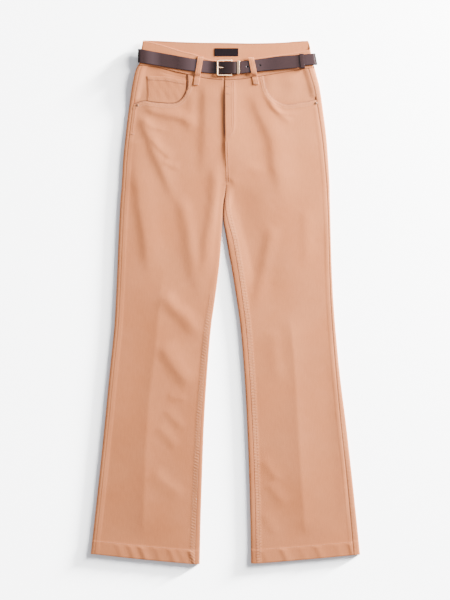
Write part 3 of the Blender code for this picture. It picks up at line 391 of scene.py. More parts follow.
def hem_drop(side, x, drop):
    """Drop of the hem's edge below or above a point."""
    share = across_leg(side, x, drop)
    return mix(HEM_OUT[side], HEM_IN[side], share) + hem_curve(share)


def cloth_height(side, x, drop):
    """Top face of the cloth over the whole front, before its seams are drawn in."""
    from_side = leg_at(side, OUTER, drop) - side * x
    from_inside = side * x - inner_edge(side, drop)
    below = drop >= FORK_DROP
    open_up = smooth((drop - FORK_DROP) / FORK_OPENS)
    rounded = np.where(below, from_inside + (1 - open_up) * EDGE_RADIUS, 99.0)
    away = np.where(below, from_inside, np.hypot(x - FORK_X, FORK_DROP - drop))
    fade = smooth((np.minimum(from_side, away) - EDGE_RADIUS) / EDGE_FADE)
    fade = fade * smooth((drop - LIFT_START) / 50.0)
    hem = hem_drop(side, x, drop)
    inside = np.minimum(from_side, rounded)
    slack = EDGE_SLACK * np.exp(-np.maximum(inside, 0) / EDGE_SOFT)
    return (lift(drop) + rim_height(inside) - slack + fade * folds(x, drop)
            + HEM_RISE * smooth((drop - hem + HEM_BAND) / 2.0 + 0.5))


def groove(distance, centre, width):
    """A soft furrow's share, 1 along its centre; the caller gives its depth or height."""
    return np.exp(-((distance - centre) / width) ** 2)


def inseam_at(side, drop):
    """The inseam, or the centre-front seam above the fork, as a distance outward."""
    above = side * curve_at(CENTRE_FRONT, drop)
    below = inner_edge(side, drop) + leg_at(side, SEAM_IN, drop)
    return np.where(np.asarray(drop) < FORK_DROP, above, below)


def pocket_line(side, samples=160):
    edge = POCKET_EDGE[side]
    at = np.linspace(0, len(edge) - 1, samples)
    return np.stack([side * curve_at([(i, p[0]) for i, p in enumerate(edge)], at),
                     curve_at([(i, p[1]) for i, p in enumerate(edge)], at)], -1)


def fly_reach(x, drop):
    """How far a point lies inside the fly's J-shaped stitching."""
    across = x - curve_at(CENTRE_FRONT, drop)
    bend = np.maximum(0.0, (drop - FLY_BEND) / (FLY_END - FLY_BEND))
    return FLY_WIDTH * np.sqrt(np.maximum(0.0, 1 - bend ** 2)) - across


def walk_to(points, reach):
    """A line moved sideways by reach, to the left of its direction."""
    step = np.gradient(points, axis=0)
    step /= np.hypot(step[:, 0], step[:, 1])[:, None]
    return points + reach * np.stack([step[:, 1], -step[:, 0]], -1)


def pocket_stitching(side, reach):
    """A stitch line beside the pocket's edge, on the panel."""
    line = walk_to(pocket_line(side), side * -reach)
    top = curve_at(WAIST_SEAM, line[:, 0])
    inside = side * line[:, 0] < side_seam(side, line[:, 1]) - 1.0
    return line[inside & (line[:, 1] > top + 1.0)]


def fly_stitching(reach):
    """The J beside the fly, reach inside its outer line."""
    straight = np.linspace(84, FLY_BEND, 60)
    bend = np.linspace(0, math.pi / 2, 40)
    drop = np.concatenate([straight, FLY_BEND + (FLY_END - FLY_BEND - reach) * np.sin(bend)])
    across = np.concatenate([np.full(60, FLY_WIDTH - reach),
                             (FLY_WIDTH - reach) * np.cos(bend)])
    return np.stack([curve_at(CENTRE_FRONT, drop) + across, drop], -1)


POCKET_STITCHES, FLY_STITCHES, INSEAM_STITCHES = (3.9, 8.2), (2.2, 6.4), (1.8, 8.6)
FELL_FROM = {-1: 500.0, 1: 290.0}      # where the felled inseam comes into sight


def front_relief(side, x, drop):
    """What sewing does to a front panel: its rise in mm, then the shares of painted shade (in
    seams and crevices), worn and roped cloth."""
    out = side_seam(side, drop) - side * x
    inner = side * x - inseam_at(side, drop)
    top = drop - curve_at(WAIST_SEAM, x)
    hem = hem_drop(side, x, drop) - drop
    pocket = line_distance(pocket_line(side, 60), x, drop)[0]
    # the side seam with its turned allowance, and the waist seam
    rise = -SEAM_DEPTH[side] * groove(out, 0, 1.1) - 0.45 * groove(top, 0, 1.2)
    rise += 0.25 * (1 - smooth((out - 7.5) / 2.0)) * smooth((drop - 135) / 8)
    # the inseam is felled, and puckers between its two rows of stitches
    leg = smooth((drop - FORK_DROP + 4) / 8)
    parting = np.where(drop > FORK_DROP, side * x - inner_edge(side, drop), 99.0)
    on_fly = 1 - smooth((drop - FLY_END + 16) / 16)
    # the right inseam turns under the leg's edge near the fork
    shown = leg * smooth((drop - FELL_FROM[side]) / 110)
    felled = (1 - smooth((inner - 10.5) / 1.6)) * shown
    rise += 0.28 * felled - groove(inner, 0, 1.0) * (0.3 * on_fly + 0.1 + 0.4 * shown)
    for line in INSEAM_STITCHES:
        rise -= 0.2 * groove(inner, line, 0.8) * shown
    pucker = np.sin(2 * math.pi * (drop + 0.6 * inner) / 6.4 + 1.2 * wander(x, drop, 60, 2))
    rise += 0.3 * felled * pucker * smooth(inner / 2)
    # the pocket's hemmed edge
    lip = 1 - smooth((pocket - 9.4) / 1.6)
    rise += 0.4 * lip - 0.55 * groove(pocket, 0, 0.9)
    for reach in POCKET_STITCHES:
        line = pocket_stitching(side, reach)
        rise -= 0.25 * groove(line_distance(line[::2], x, drop)[0], 0, 0.8)
    # the hem's stitching, its puckers and its folded edge
    rise -= 0.3 * groove(hem, HEM_BAND - 0.8, 0.9)
    band = smooth((HEM_BAND - 1 - hem) / 4)
    for at, height in HEM_PUCKERS:
        beside = x - at - PUCKER_LEAN * (HEM_BAND - hem)
        wide = np.where(beside < 0, PUCKER_LEFT, PUCKER_RIGHT)
        rise += height * band * np.exp(-(beside / wide) ** 2)
    rise -= 0.5 * groove(hem, 0, 0.9)
    # the left front laps over the right one at the fly
    if side > 0:
        reach = fly_reach(x, drop)
        rise += FLY_RISE * smooth(reach / 3.0 + 0.5) * on_fly
        for line in FLY_STITCHES:
            away = line_distance(fly_stitching(line)[::3], x, drop)[0]
            rise -= 0.12 * groove(away, 0, 0.8)
    else:
        rise -= 0.6 * groove(inner, 0, 2.0) * on_fly
    seam = smooth((drop - FLY_END) / 6) * (1 - leg)
    rise += 0.12 * seam * (1 - smooth((inner - 7.5) / 1.6)) * (side > 0)
    # painted shade: in the side seam, the fly's opening, the inseam, where the legs part, under
    # the pocket's edge and along the waist seam
    dark_and_shade = np.maximum.reduce([SEAM_SHADE[side] * groove(out, 0, 0.8),
                              groove(inner, 0, 1.1 if side < 0 else 0.6) * on_fly,
                              groove(inner, 0, 0.7) * (0.05 + 0.7 * shown) * (1 - on_fly),
                              0.9 * groove(parting, 0, 1.6) * groove(drop, 355, 48),
                              0.8 * groove(pocket, 0, 0.6), 0.6 * groove(top, 0, 0.9)])
    worn = np.maximum.reduce([0.5 * groove(out, 2.6, 1.5), 0.6 * felled * smooth(inner / 2),
                              0.6 * lip * smooth(pocket / 1.5), 0.6 * groove(hem, 1.4, 1.2)])
    return rise, dark_and_shade, worn, felled


TURNED_EDGE = 0.22                     # radius on the edges of a cloth's wall


def smooth_faces(mesh):
    mesh.polygons.foreach_set("use_smooth", np.ones(len(mesh.polygons), bool))


def lay_flat(mesh, flat, finish):
    """Smooth faces in one finish, with UVs in metres from each vertex's place on the flat
    piece."""
    corner = np.empty(len(mesh.loops), int)
    mesh.loops.foreach_get("vertex_index", corner)
    weave = mesh.uv_layers.new(name="weave")
    weave.data.foreach_set("uv", (flat[corner] * MM).ravel())
    smooth_faces(mesh)
    mesh.materials.append(finish)


def set_mark(mesh, mark, values):
    layer = mesh.attributes.new(mark, "FLOAT", "POINT")
    layer.data.foreach_set("value", np.ascontiguousarray(values, float).ravel())


def cloth_sheet(name, points, faces, flat, marks, thickness, finish):
    """A mesh with the cloth's own UVs and its marks, grown inward to a wall."""
    item = mesh_object(name, points, faces)
    lay_flat(item.data, flat, finish)
    for mark, values in marks.items():
        set_mark(item.data, mark, values)
    wall = item.modifiers.new("wall", "SOLIDIFY")
    wall.thickness, wall.offset = thickness * MM, -1.0
    rim = item.modifiers.new("turned_edge", "BEVEL")
    rim.width, rim.segments = TURNED_EDGE * MM, 2
    rim.limit_method, rim.angle_limit = "ANGLE", math.radians(55)
    return item


def grid_faces(rows, columns, flip=False):
    first = np.arange(rows * columns).reshape(rows, columns)
    a, b, c, d = first[:-1, :-1], first[:-1, 1:], first[1:, 1:], first[1:, :-1]
    corners = (a, d, c, b) if flip else (a, b, c, d)
    return np.stack([k.ravel() for k in corners], -1)


def grid_sheet(name, x, drop, z, marks, finish, thickness=DENIM, flip=False, across=None):
    """A cloth sheet over a grid of points; across is its flat width where that isn't x."""
    across = x if across is None else across
    return cloth_sheet(name, in_frame(x, drop, z).reshape(-1, 3), grid_faces(*x.shape, flip=flip),
                       np.stack([across.ravel(), -drop.ravel()], -1), marks, thickness, finish)


def leg_rows():
    """Row positions: 0 to 1 down to the fork, 1 to 2 from the fork to the hem."""
    torso = np.linspace(0, 1, round((FORK_DROP - TOP_ROW) / ROW_STEP))[:-1]
    long = HEM_IN[-1] - FORK_DROP
    legs = np.linspace(0, 1 - HEM_BAND / long, round((long - HEM_BAND) / ROW_STEP))[:-1]
    band = np.linspace(1 - HEM_BAND / long, 1, round(HEM_BAND / HEM_ROW_STEP))
    return np.concatenate([torso, 1 + legs, 1 + band])


def rail(rows, top, hem):
    """Drop of each row at one edge of a panel."""
    return np.where(rows < 1, mix(top, FORK_DROP, rows), mix(FORK_DROP, hem, rows - 1))


# columns: their distances from each edge, and how many even ones lie between
EDGE_STEPS = np.array([0, 0.5, 1.1, 1.9, 2.9, 4.1, 5.6, 7.2, 8.6, 10.0, 11.4, 13.4, 16.5,
                       20.5, 25.5])
MIDDLE_STEPS = 40


def hem_bulge(side, x, drop, rows):
    """The hem's curve, fading out up the leg."""
    return hem_curve(across_leg(side, x, drop)) * np.clip(rows - 1, 0, 1)[:, None] ** 8


def front_grid(side):
    """The panel's (x, drop) points, rows down and columns from the side seam inward."""
    rows = leg_rows()
    top_out, top_in = curve_at(WAIST_SEAM, side * WAIST_OUT_X), curve_at(WAIST_SEAM, WAIST_IN_X)
    out_drop = rail(rows, top_out + SEAM_GAP, HEM_OUT[side])
    in_drop = rail(rows, top_in + SEAM_GAP, HEM_IN[side])
    outward = side_seam(side, out_drop) - JOIN / 2
    inward = inseam_at(side, in_drop) + JOIN / 2
    width = (outward - inward)[:, None]
    edge = np.broadcast_to(EDGE_STEPS, (len(rows), len(EDGE_STEPS)))
    middle = EDGE_STEPS[-1] + (width - 2 * EDGE_STEPS[-1]) * between(MIDDLE_STEPS)
    near = np.concatenate([edge, middle, width - edge[:, ::-1]], 1) / width
    even = np.linspace(0, 1, near.shape[1])
    # above the fork the columns are more even, for the pocket
    u = mix(mix(even, near, 0.35), near, smooth((rows[:, None] - 0.45) / 0.5))
    x = side * mix(outward[:, None], inward[:, None], u)
    drop = mix(out_drop[:, None], in_drop[:, None], u)
    drop += ((curve_at(WAIST_SEAM, x) - mix(top_out, top_in, u))
             * np.clip(1 - rows, 0, 1)[:, None] ** 2)
    return x, drop + hem_bulge(side, x, drop, rows)


def inside_outline(outline, x, drop):
    """Whether each point lies inside a closed outline, by counting its crossings."""
    crossings = np.zeros(np.shape(x), int)
    for a, b in zip(outline, np.roll(outline, -1, 0)):
        spans = (a[1] > drop) != (b[1] > drop)
        at = a[0] + (drop - a[1]) * (b[0] - a[0]) / np.where(b[1] == a[1], 1, b[1] - a[1])
        crossings += spans & (x < at)
    return crossings % 2 == 1


PAST_SIDE, PAST_TOP = 240, 20          # beyond the panel's side and top
CUT_NEAR, CUT_SNAP = 12, 0.7           # points to look at, and points to move onto the line


def scoop_outline(side):
    line = pocket_line(side)
    return np.concatenate([line, [(side * PAST_SIDE, line[-1, 1]), (side * PAST_SIDE, PAST_TOP),
                                  (line[0, 0], PAST_TOP)]])


def cut_scoop(side, x, drop, faces):
    """Cut the pocket's scoop: the points just past its line, or close to it, move onto it."""
    line = pocket_line(side)
    cut = inside_outline(scoop_outline(side), x, drop)
    near = np.flatnonzero(line_distance(line[::4], x, drop)[0] < CUT_NEAR)
    a, b = line[:-1], line[1:]
    for k in near:
        step = b - a
        t = np.clip(((x[k] - a[:, 0]) * step[:, 0] + (drop[k] - a[:, 1]) * step[:, 1])
                    / (step ** 2).sum(1), 0, 1)
        foot = a + step * t[:, None]
        away = np.hypot(foot[:, 0] - x[k], foot[:, 1] - drop[k])
        best = away.argmin()
        if cut[k] or away[best] < CUT_SNAP:
            x[k], drop[k] = foot[best]
            cut[k] = True
    faces = faces[~cut[faces].all(1)]
    used = np.unique(faces)
    order = np.full(len(x), -1)
    order[used] = np.arange(len(used))
    return x[used], drop[used], order[faces]


def reckon(tree, operation, *values):
    """A sum on up to three numbers or sockets."""
    return add(tree, "ShaderNodeMath", dict(enumerate(values)), operation=operation).outputs[0]


def ranged(tree, value, low, high, at_low, at_high, **settings):
    """A value's place between low and high, as a place between at_low and at_high."""
    return add(tree, "ShaderNodeMapRange", {"Value": value, 1: low, 2: high, 3: at_low,
                                            4: at_high}, **settings).outputs[0]


def new_group(name, inputs, outputs, kind_of_tree="ShaderNodeTree"):
    """A node group with named sockets, as (group, its input node, its output node)."""
    group = bpy.data.node_groups.new(name, kind_of_tree)
    for label, kind, value in inputs:
        socket = group.interface.new_socket(name=label, in_out="INPUT",
                                            socket_type="NodeSocket" + kind)
        if value is not None:
            socket.default_value = value
    for label, kind in outputs:
        group.interface.new_socket(name=label, in_out="OUTPUT",
                                   socket_type="NodeSocket" + kind)
    return group, group.nodes.new("NodeGroupInput"), group.nodes.new("NodeGroupOutput")


# Two groups that the cloth's finishes share: the twill's diagonal yarns, and the uneven
# fading of dyed cloth, which also lays in the painted shade.
TWILL_SLANT = math.radians(-28)
WAVE_SCALE = 0.31416                   # at this scale one wave is a metre long
twill, start, end = new_group(
    "twill", (("Vector", "Vector", None), ("Yarn Pitch", "Float", 0.0006),
              ("Unevenness", "Float", 0.35)), (("Height", "Float"), ("Shade", "Float")))
turn = add(twill, "ShaderNodeMapping", {"Vector": start.outputs["Vector"],
                                        "Rotation": (0, 0, TWILL_SLANT)})
rate = reckon(twill, "DIVIDE", WAVE_SCALE, start.outputs["Yarn Pitch"])
yarns = add(twill, "ShaderNodeTexWave", {"Vector": turn.outputs[0], "Scale": rate,
                                         "Distortion": 0.6, "Detail": 1.0})
slub = add(twill, "ShaderNodeTexNoise", {"Vector": start.outputs["Vector"], "Scale": 900.0,
                                         "Detail": 2.0})
rough = add(twill, "ShaderNodeMix", {0: start.outputs["Unevenness"], 2: yarns.outputs["Fac"],
                                     3: slub.outputs["Fac"]})
# the yarns themselves are unevenly spun, in streaks along the cloth's length
long_way = add(twill, "ShaderNodeMapping", {"Vector": start.outputs["Vector"],
                                            "Scale": (2.6, 0.4, 1.0)})
spun = add(twill, "ShaderNodeTexNoise", {"Vector": long_way.outputs[0], "Scale": 140.0,
                                         "Detail": 3.0})
both = add(twill, "ShaderNodeMix", {0: 0.55, 2: rough.outputs[0], 3: spun.outputs["Fac"]})
feed(twill, end, {"Height": rough.outputs[0], "Shade": both.outputs[0]})

fading, start, end = new_group(
    "fading", (("Colour", "Color", None), ("Faded", "Color", None), ("Painted Shade", "Color", None),
               ("Worn Mask", "Float", 0.0), ("Painted Shade Mask", "Float", 0.0),
               ("Blotch Size", "Float", 9.0), ("Blotch Amount", "Float", 0.3)),
    (("Colour", "Color"),))
place = add(fading, "ShaderNodeTexCoord").outputs["Object"]
blotch = add(fading, "ShaderNodeTexNoise", {"Vector": place, "Detail": 4.0, "Roughness": 0.55,
                                            "Scale": start.outputs["Blotch Size"]})
patchy = ranged(fading, blotch.outputs["Fac"], 0.35, 0.65, 0.0, start.outputs["Blotch Amount"])
faded = blend(fading, patchy, start.outputs["Colour"], start.outputs["Faded"])
faded = blend(fading, start.outputs["Worn Mask"], faded, start.outputs["Faded"])
# the painted shade laid over the colour where its mask asks
painted_in_shade = blend(fading, start.outputs["Painted Shade Mask"], faded, start.outputs["Painted Shade"])
feed(fading, end, {"Colour": painted_in_shade})


def cloth_finish(name, colour, faded, dark_and_shade, pitch=0.0006, sheen=0.1):
    """Dyed twill: fading on ridges, painted shade in seams and crevices, roped stitching and a
    napped sheen.
    """
    material, tree, shader = new_material(name)
    uv = add(tree, "ShaderNodeUVMap", uv_map="weave").outputs["UV"]
    weave = add(tree, "ShaderNodeGroup", {"Vector": uv, "Yarn Pitch": pitch}, node_tree=twill)
    # the cloth's marks: its wear, its painted shade and its roped stitching
    worn, painted_in_shade, roped = [add(tree, "ShaderNodeAttribute", attribute_name=mark).outputs["Fac"]
                         for mark in ("worn", "dark_and_shade", "roped")]
    skew = add(tree, "ShaderNodeMapping", {"Vector": uv, "Scale": (0.35, 1.65, 1.0)})
    ropes = add(tree, "ShaderNodeTexWave",
                {"Vector": skew.outputs[0], "Scale": 62.0, "Distortion": 2.5, "Detail": 2.0,
                 "Detail Scale": 1.5}, bands_direction="DIAGONAL")
    roped = reckon(tree, "MULTIPLY", ropes.outputs["Fac"], roped)
    wear_and_sheen = reckon(tree, "MULTIPLY_ADD", roped, 0.6, reckon(tree, "MULTIPLY", worn, 0.45))
    tint = add(tree, "ShaderNodeGroup",
               {"Colour": (*colour, 1), "Faded": (*faded, 1), "Painted Shade": (*dark_and_shade, 1),
                "Worn Mask": wear_and_sheen, "Painted Shade Mask": painted_in_shade}, node_tree=fading)
    shade = ranged(tree, weave.outputs["Shade"], 0.2, 0.8, 0.90, 1.08)
    dyed = add(tree, "ShaderNodeVectorMath", {0: tint.outputs[0], 1: shade},
               operation="MULTIPLY")
    high = reckon(tree, "MULTIPLY_ADD", roped, 2.0, weave.outputs["Height"])
    bumped = add(tree, "ShaderNodeBump", {"Strength": 0.3, "Distance": 0.0002, "Height": high})
    feed(tree, shader, {"Base Color": dyed.outputs[0], "Normal": bumped.outputs[0],
                        "Roughness": 0.88, "Specular IOR Level": sheen, "Sheen Weight": sheen,
                        "Sheen Roughness": 0.5, "Sheen Tint": (1.0, 0.85, 0.75, 1)})
    return material


DENIM_COLOUR, DENIM_FADED = (0.505, 0.170, 0.063), (0.61, 0.235, 0.104)
# the colour of the shade painted into seams and crevices
DENIM_PAINTED_SHADE = (0.100, 0.052, 0.038)
denim = cloth_finish("peach_denim", DENIM_COLOUR, DENIM_FADED, DENIM_PAINTED_SHADE)

for side, name, node in ((-1, "right_front_panel", "front_right"),
                         (1, "left_front_panel", "front_left")):
    x, drop = front_grid(side)
    faces = grid_faces(*x.shape, flip=side < 0)
    x, drop, faces = cut_scoop(side, x.ravel(), drop.ravel(), faces)
    rise, dark_and_shade, worn, roped = front_relief(side, x, drop)
    panel = cloth_sheet(name, in_frame(x, drop, cloth_height(side, x, drop) + rise), faces,
                        np.stack([x, -drop], -1), {"dark_and_shade": dark_and_shade, "worn": worn, "roped": roped},
                        DENIM, denim)
    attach(panel, "root")
    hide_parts(node)


# ================================================================ the two back panels
# Each back is wider than its front: it comes round both folded edges of the leg and
# shows beside the seams on top.  Its underside lies on the table, and at the waist the
# belt's back run holds it up a little.

BACK_SEAM_DROP, FLOOR_COLUMNS = 47.0, 24
BACK_SHARE = 0.4                       # the back's creases, as a share of the front's ridges
TOUCH_SHADE = {-1: (1.6, 360), 1: (3.0, 400)}     # painted shade where the legs touch: width, its end
UPPER_ARC = np.array([0, 0.05, 0.12, 0.2, 0.3, 0.42, 0.56, 0.7, 0.85, 1.0])
LOWER_ARC = np.radians([18, 36, 54, 72, 90])


def folded_profile(seam):
    """Insets and heights from the seam on top, round the edge, to the floor."""
    quarter = EDGE_RADIUS * math.pi / 2
    seam = np.asarray(seam)[:, None]
    length = np.where(seam >= EDGE_RADIUS, seam - EDGE_RADIUS + quarter,
                      EDGE_RADIUS * np.arccos(np.clip(1 - seam / EDGE_RADIUS, -1, 1)))
    arc = length * (1 - UPPER_ARC)
    angle = np.minimum(arc, quarter) / EDGE_RADIUS
    low = np.broadcast_to(LOWER_ARC, (len(seam), len(LOWER_ARC)))
    inset = np.concatenate([EDGE_RADIUS * (1 - np.cos(angle)) + np.maximum(arc - quarter, 0),
                            EDGE_RADIUS * (1 - np.cos(low))], 1)
    height = np.concatenate([EDGE_RADIUS * (1 + np.sin(angle)),
                             EDGE_RADIUS * (1 - np.sin(low))], 1)
    return inset, height


def back_panel(side):
    """Points of the panel's outer face, and what sewing does to it."""
    rows = leg_rows()
    out_drop = rail(rows, curve_at(WAIST_SEAM, side * WAIST_OUT_X) + SEAM_GAP, HEM_OUT[side])
    in_drop = rail(rows, BACK_SEAM_DROP + 2 * SEAM_GAP, HEM_IN[side])
    inset, height = folded_profile(leg_at(side, SEAM_OUT, out_drop) - JOIN / 2)
    outward = leg_at(side, OUTER, out_drop)[:, None] - inset
    drop_out = np.repeat(out_drop[:, None], inset.shape[1], 1)
    at_front = height / (2 * EDGE_RADIUS)
    top = mix(BACK_SEAM_DROP, curve_at(WAIST_SEAM, side * outward), at_front)
    top += np.where(at_front > 0.9, 2, 7) * SEAM_GAP
    drop_out += (top[:1] - out_drop[0]) * np.clip(1 - rows, 0, 1)[:, None] ** 2
    # the inner side lies flat above the fork, and curls up just before it
    curl = smooth((in_drop - FORK_DROP + 24) / 24)[:, None]
    curled, rise = folded_profile(np.maximum(leg_at(side, SEAM_IN, in_drop), 0.8))
    flat = mix(0.0, EDGE_RADIUS + 2.0, np.linspace(0, 1, curled.shape[1]))
    curled, rise = mix(flat, curled, curl)[:, ::-1], (rise * curl)[:, ::-1]
    inward = inner_edge(side, in_drop)[:, None] + SEAM_GAP / 2 + curled
    drop_in = np.repeat(in_drop[:, None], curled.shape[1], 1)
    floor_x = mix(outward[:, -1:], inward[:, :1], between(FLOOR_COLUMNS))
    floor_drop = mix(drop_out[:, -1:], drop_in[:, :1], between(FLOOR_COLUMNS))
    x = side * np.concatenate([outward, floor_x, inward], 1)
    drop = np.concatenate([drop_out, floor_drop, drop_in], 1)
    drop += hem_bulge(side, x, drop, rows)
    up = np.concatenate([height, np.zeros_like(floor_x), rise], 1)
    on_top = smooth(up / EDGE_RADIUS - 1)
    parting = side * x - inner_edge(side, drop)
    from_edge = np.minimum(leg_at(side, OUTER, drop) - side * x, parting)
    creased = smooth((from_edge - 8) / 20) * smooth((drop - LIFT_END) / 50) * (up < 0.1)
    under = lift(drop) + up + BACK_SHARE * creased * np.maximum(folds(x, drop), 0)
    z = mix(under, cloth_height(side, x, drop), on_top)
    seam = side_seam(side, drop) - side * x
    hem = hem_drop(side, x, drop) - drop
    z += on_top * (-SEAM_DEPTH[side] * groove(seam, 0, 1.1) + 0.1 * groove(seam, -2.8, 1.6)
                   - 0.3 * groove(hem, HEM_BAND - 0.8, 0.9))
    pucker = np.sin(2 * math.pi * drop / 9.1 + 1.5 * wander(x, drop, 70, 12))
    z += on_top * 0.12 * pucker * groove(seam, -3, 3)
    # painted shade where the legs touch below the fork
    width, touch_end = TOUCH_SHADE[side]
    shade = 0.8 * groove(parting, -0.5, width) * smooth((drop - 296) / 12) * (up > 0)
    shade *= 1 - smooth((drop - touch_end) / 130)
    dark_and_shade = np.maximum(on_top * SEAM_SHADE[side] * groove(seam, 0, 0.8), shade)
    worn = smooth((up - 2.0) / 2.0) * groove(seam, -4.2, 3.2)
    return x, drop, z, dark_and_shade, 0.5 * worn


for side, name, node in ((-1, "right_back_panel", "back_right"),
                         (1, "left_back_panel", "back_left")):
    x, drop, z, dark_and_shade, worn = back_panel(side)
    step = np.hypot(np.hypot(np.diff(x, axis=1), np.diff(drop, axis=1)), np.diff(z, axis=1))
    round_it = np.concatenate([np.zeros((len(x), 1)), np.cumsum(step, 1)], 1)
    panel = grid_sheet(name, x, drop, z, {"dark_and_shade": dark_and_shade, "worn": worn, "roped": 0.6 * worn},
                       denim, flip=side > 0, across=round_it)
    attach(panel, "root")
    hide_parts(node)

# ================================================================ pocket facings and coin pocket
# Behind each scooped opening is a facing of the same cloth on the pocket's bag.  The
# right one carries the little coin pocket, hemmed along its top.

UNDERLAY = 1.7                         # how far these lie below the front's face
FACING_TOP, FACING_END, FACING_TUCK, FACING_MARGIN = 58, 146.0, -0.15, 16.0
POCKET_SHADE = {-1: 0.75, 1: 0.2}       # painted shadow in the corner under the pocket's edge
COIN_TOP = ((-163, 72.6), (-122, 75.0), (-103, 78.8), (-80, 82.0))
COIN_X, COIN_WALL, COIN_HEM = (-163.5, -83.0), 0.5, 8.5


def unit_grid(columns, rows):
    return np.meshgrid(np.linspace(0, 1, columns), np.linspace(0, 1, rows))


def facing_x(side, drop, u):
    """From the side seam, at u = 0, to behind the front panel."""
    outward = side_seam(side, drop) + FACING_TUCK
    return side * mix(outward, POCKET_EDGE[side][0][0] - FACING_MARGIN, u)


for side, name, node in ((-1, "right_pocket_facing", "pocket_facing_right"),
                         (1, "left_pocket_facing", "pocket_facing_left")):
    u, v = unit_grid(60, 50)
    top = curve_at(WAIST_SEAM, facing_x(side, mix(FACING_TOP, FACING_END, v), u)) + SEAM_GAP
    drop = mix(top, FACING_END, v)
    x = facing_x(side, drop, u)
    inside = side * x - side_seam(side, drop)
    # near the side seam the facing rises level with the panels, but not under the front
    opening = inside_outline(scoop_outline(side), x, drop)
    near = line_distance(pocket_line(side, 60), x, drop)[0]
    clear = np.where(opening, near, 0.0)
    level = smooth((clear - 1.5) / 9) * (1 - smooth((-inside - 2) / 13))
    z = cloth_height(side, x, drop) - UNDERLAY * (1 - 0.96 * level)
    z += (0.15 + 0.2 * smooth(clear / 8)) * wander(x, drop, 30, 21) * (1 - level)
    # the right one is wrinkled under the waistband
    under = drop - curve_at(WAIST_SEAM, x)
    z -= 0.45 * groove(under, 8.5, 1.6) * smooth((140 - np.abs(x)) / 12) * (side < 0)
    # painted shade in the side seam, and painted shadow under the pocket's edge
    dark_and_shade = np.maximum(SEAM_SHADE[side] * groove(inside, -0.3, 0.8),
                      POCKET_SHADE[side] * groove(near, 0, 1.8))
    worn = 0.5 * smooth((drop - 70) / 30) * (1 - smooth((drop - 120) / 12))
    facing = grid_sheet(name, x, drop, z, {"worn": worn, "dark_and_shade": dark_and_shade}, denim, flip=side < 0)
    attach(facing, "root")
    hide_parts(node)


def coin_height(x, drop):
    """The coin pocket's face, with its hemmed top and stitched side."""
    below = drop - curve_at(COIN_TOP, x)
    face = cloth_height(-1, x, drop) - UNDERLAY + 0.35 + COIN_WALL
    edge = smooth((x - COIN_X[0]) / 2.0)
    return (face + 0.35 * (1 - smooth((below - COIN_HEM + 1) / 1.5)) - 0.3 * (1 - edge)
            - 0.22 * groove(below, COIN_HEM - 1.2, 0.8) - 0.2 * groove(x, COIN_X[0] + 3.0, 0.8)
            + 0.16 * wander(x, drop, 22, 5))


u, v = unit_grid(60, 44)
x = mix(COIN_X[0], COIN_X[1], u)
scoop = sorted((-w, d) for w, d in POCKET_EDGE[-1][3:11])
drop = mix(curve_at(COIN_TOP, x), curve_at(scoop, x) - 0.6, v)
below = drop - curve_at(COIN_TOP, x)
near = line_distance(pocket_line(-1, 60), x, drop)[0]
worn = 0.9 * groove(below, 1.0, 1.4) + 0.5 * groove(below, COIN_HEM - 3, 2)
# painted shade below the hem's edge, down the left side and under the pocket's edge
dark_and_shade = np.maximum.reduce([0.4 * groove(below, COIN_HEM + 0.5, 0.8),
                          0.6 * groove(x, COIN_X[0], 0.8),
                          POCKET_SHADE[-1] * groove(near, 0, 1.8)])
# cut apart from the facing, so its twill doesn't meet the facing's
coin = grid_sheet("coin_pocket_patch", x, drop, coin_height(x, drop),
                  {"worn": worn, "dark_and_shade": dark_and_shade}, denim, COIN_WALL, flip=True, across=x + 37)
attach(coin, "root")
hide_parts("coin_pocket")

# ================================================================ the fly shield
# A strip of the same cloth behind the fly's opening, sewn to the right front.

SHIELD_X, SHIELD_DROP = (-30.0, 9.0), (84.0, 232.0)
u, v = unit_grid(24, 70)
drop = mix(SHIELD_DROP[0], SHIELD_DROP[1], v)
x = curve_at(CENTRE_FRONT, drop) + mix(SHIELD_X[0], SHIELD_X[1], u)
on_right = u < -SHIELD_X[0] / (SHIELD_X[1] - SHIELD_X[0])
z = np.where(on_right, cloth_height(-1, x, drop), cloth_height(1, x, drop)) - UNDERLAY
shield = grid_sheet("fly_shield_strip", x, drop, z, {}, denim, flip=True)
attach(shield, "root")
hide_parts("fly_shield")

# ================================================================ the waistband
# One folded strip of denim, 40 to 44 mm deep, topstitched along both edges.  It comes from
# the centre front round the back and to the front again.  Its button and buttonhole are
# hidden behind the buckle and aren't built.

WAIST_TOP = ((-173, 0.4), (-160, 1.2), (-136, 6.9), (-111, 14.7), (-90, 21.2),
             (-64, 27.4), (-44, 35.2), (-25, 39.7), (-4, 41.2), (31, 40.8), (61, 36.1),
             (96, 31.0), (124, 27.7), (151, 23.5), (177, 17.9))
BACK_TOP = ((-173, -2.0), (-140, -1.0), (-95, 1.2), (-52, 2.5), (0, 3.0), (52, 4.0),
            (115, 2.7), (157, -0.4), (176, -1.2))
WAISTBAND, BAND_BEND, BAND_CLEAR = 2.2, 3.0, 0.1
BAND_SIDE = {-1: ((0, 173.0), (51, 180.5)), 1: ((0, 176.4), (56, 185.8))}
BAND_FRONT_X, BAND_BACK_X = 178.0, 174.0      # where its edges turn round the side
FRONT_STATIONS, TURN_STATIONS, BACK_STATIONS = 70, 11, 120
BAND_STITCH = 2.4

SKIN_STEPS = np.array([0, 0.05, 0.2, 0.45, 0.8, 1.3, 2.0])     # columns on a rounded edge
EDGE_ROUND = 0.45                      # radius of a strip's edge, as a share of its thickness


def along_line(points):
    """How far along a line of 3-D points each of them lies."""
    gaps = np.linalg.norm(np.diff(points, axis=0), axis=1)
    return np.concatenate([[0], np.cumsum(gaps)])


def curve_through(along, points, at):
    return np.stack([curve_at(np.stack([along, points[:, k]], -1), at) for k in range(3)], -1)


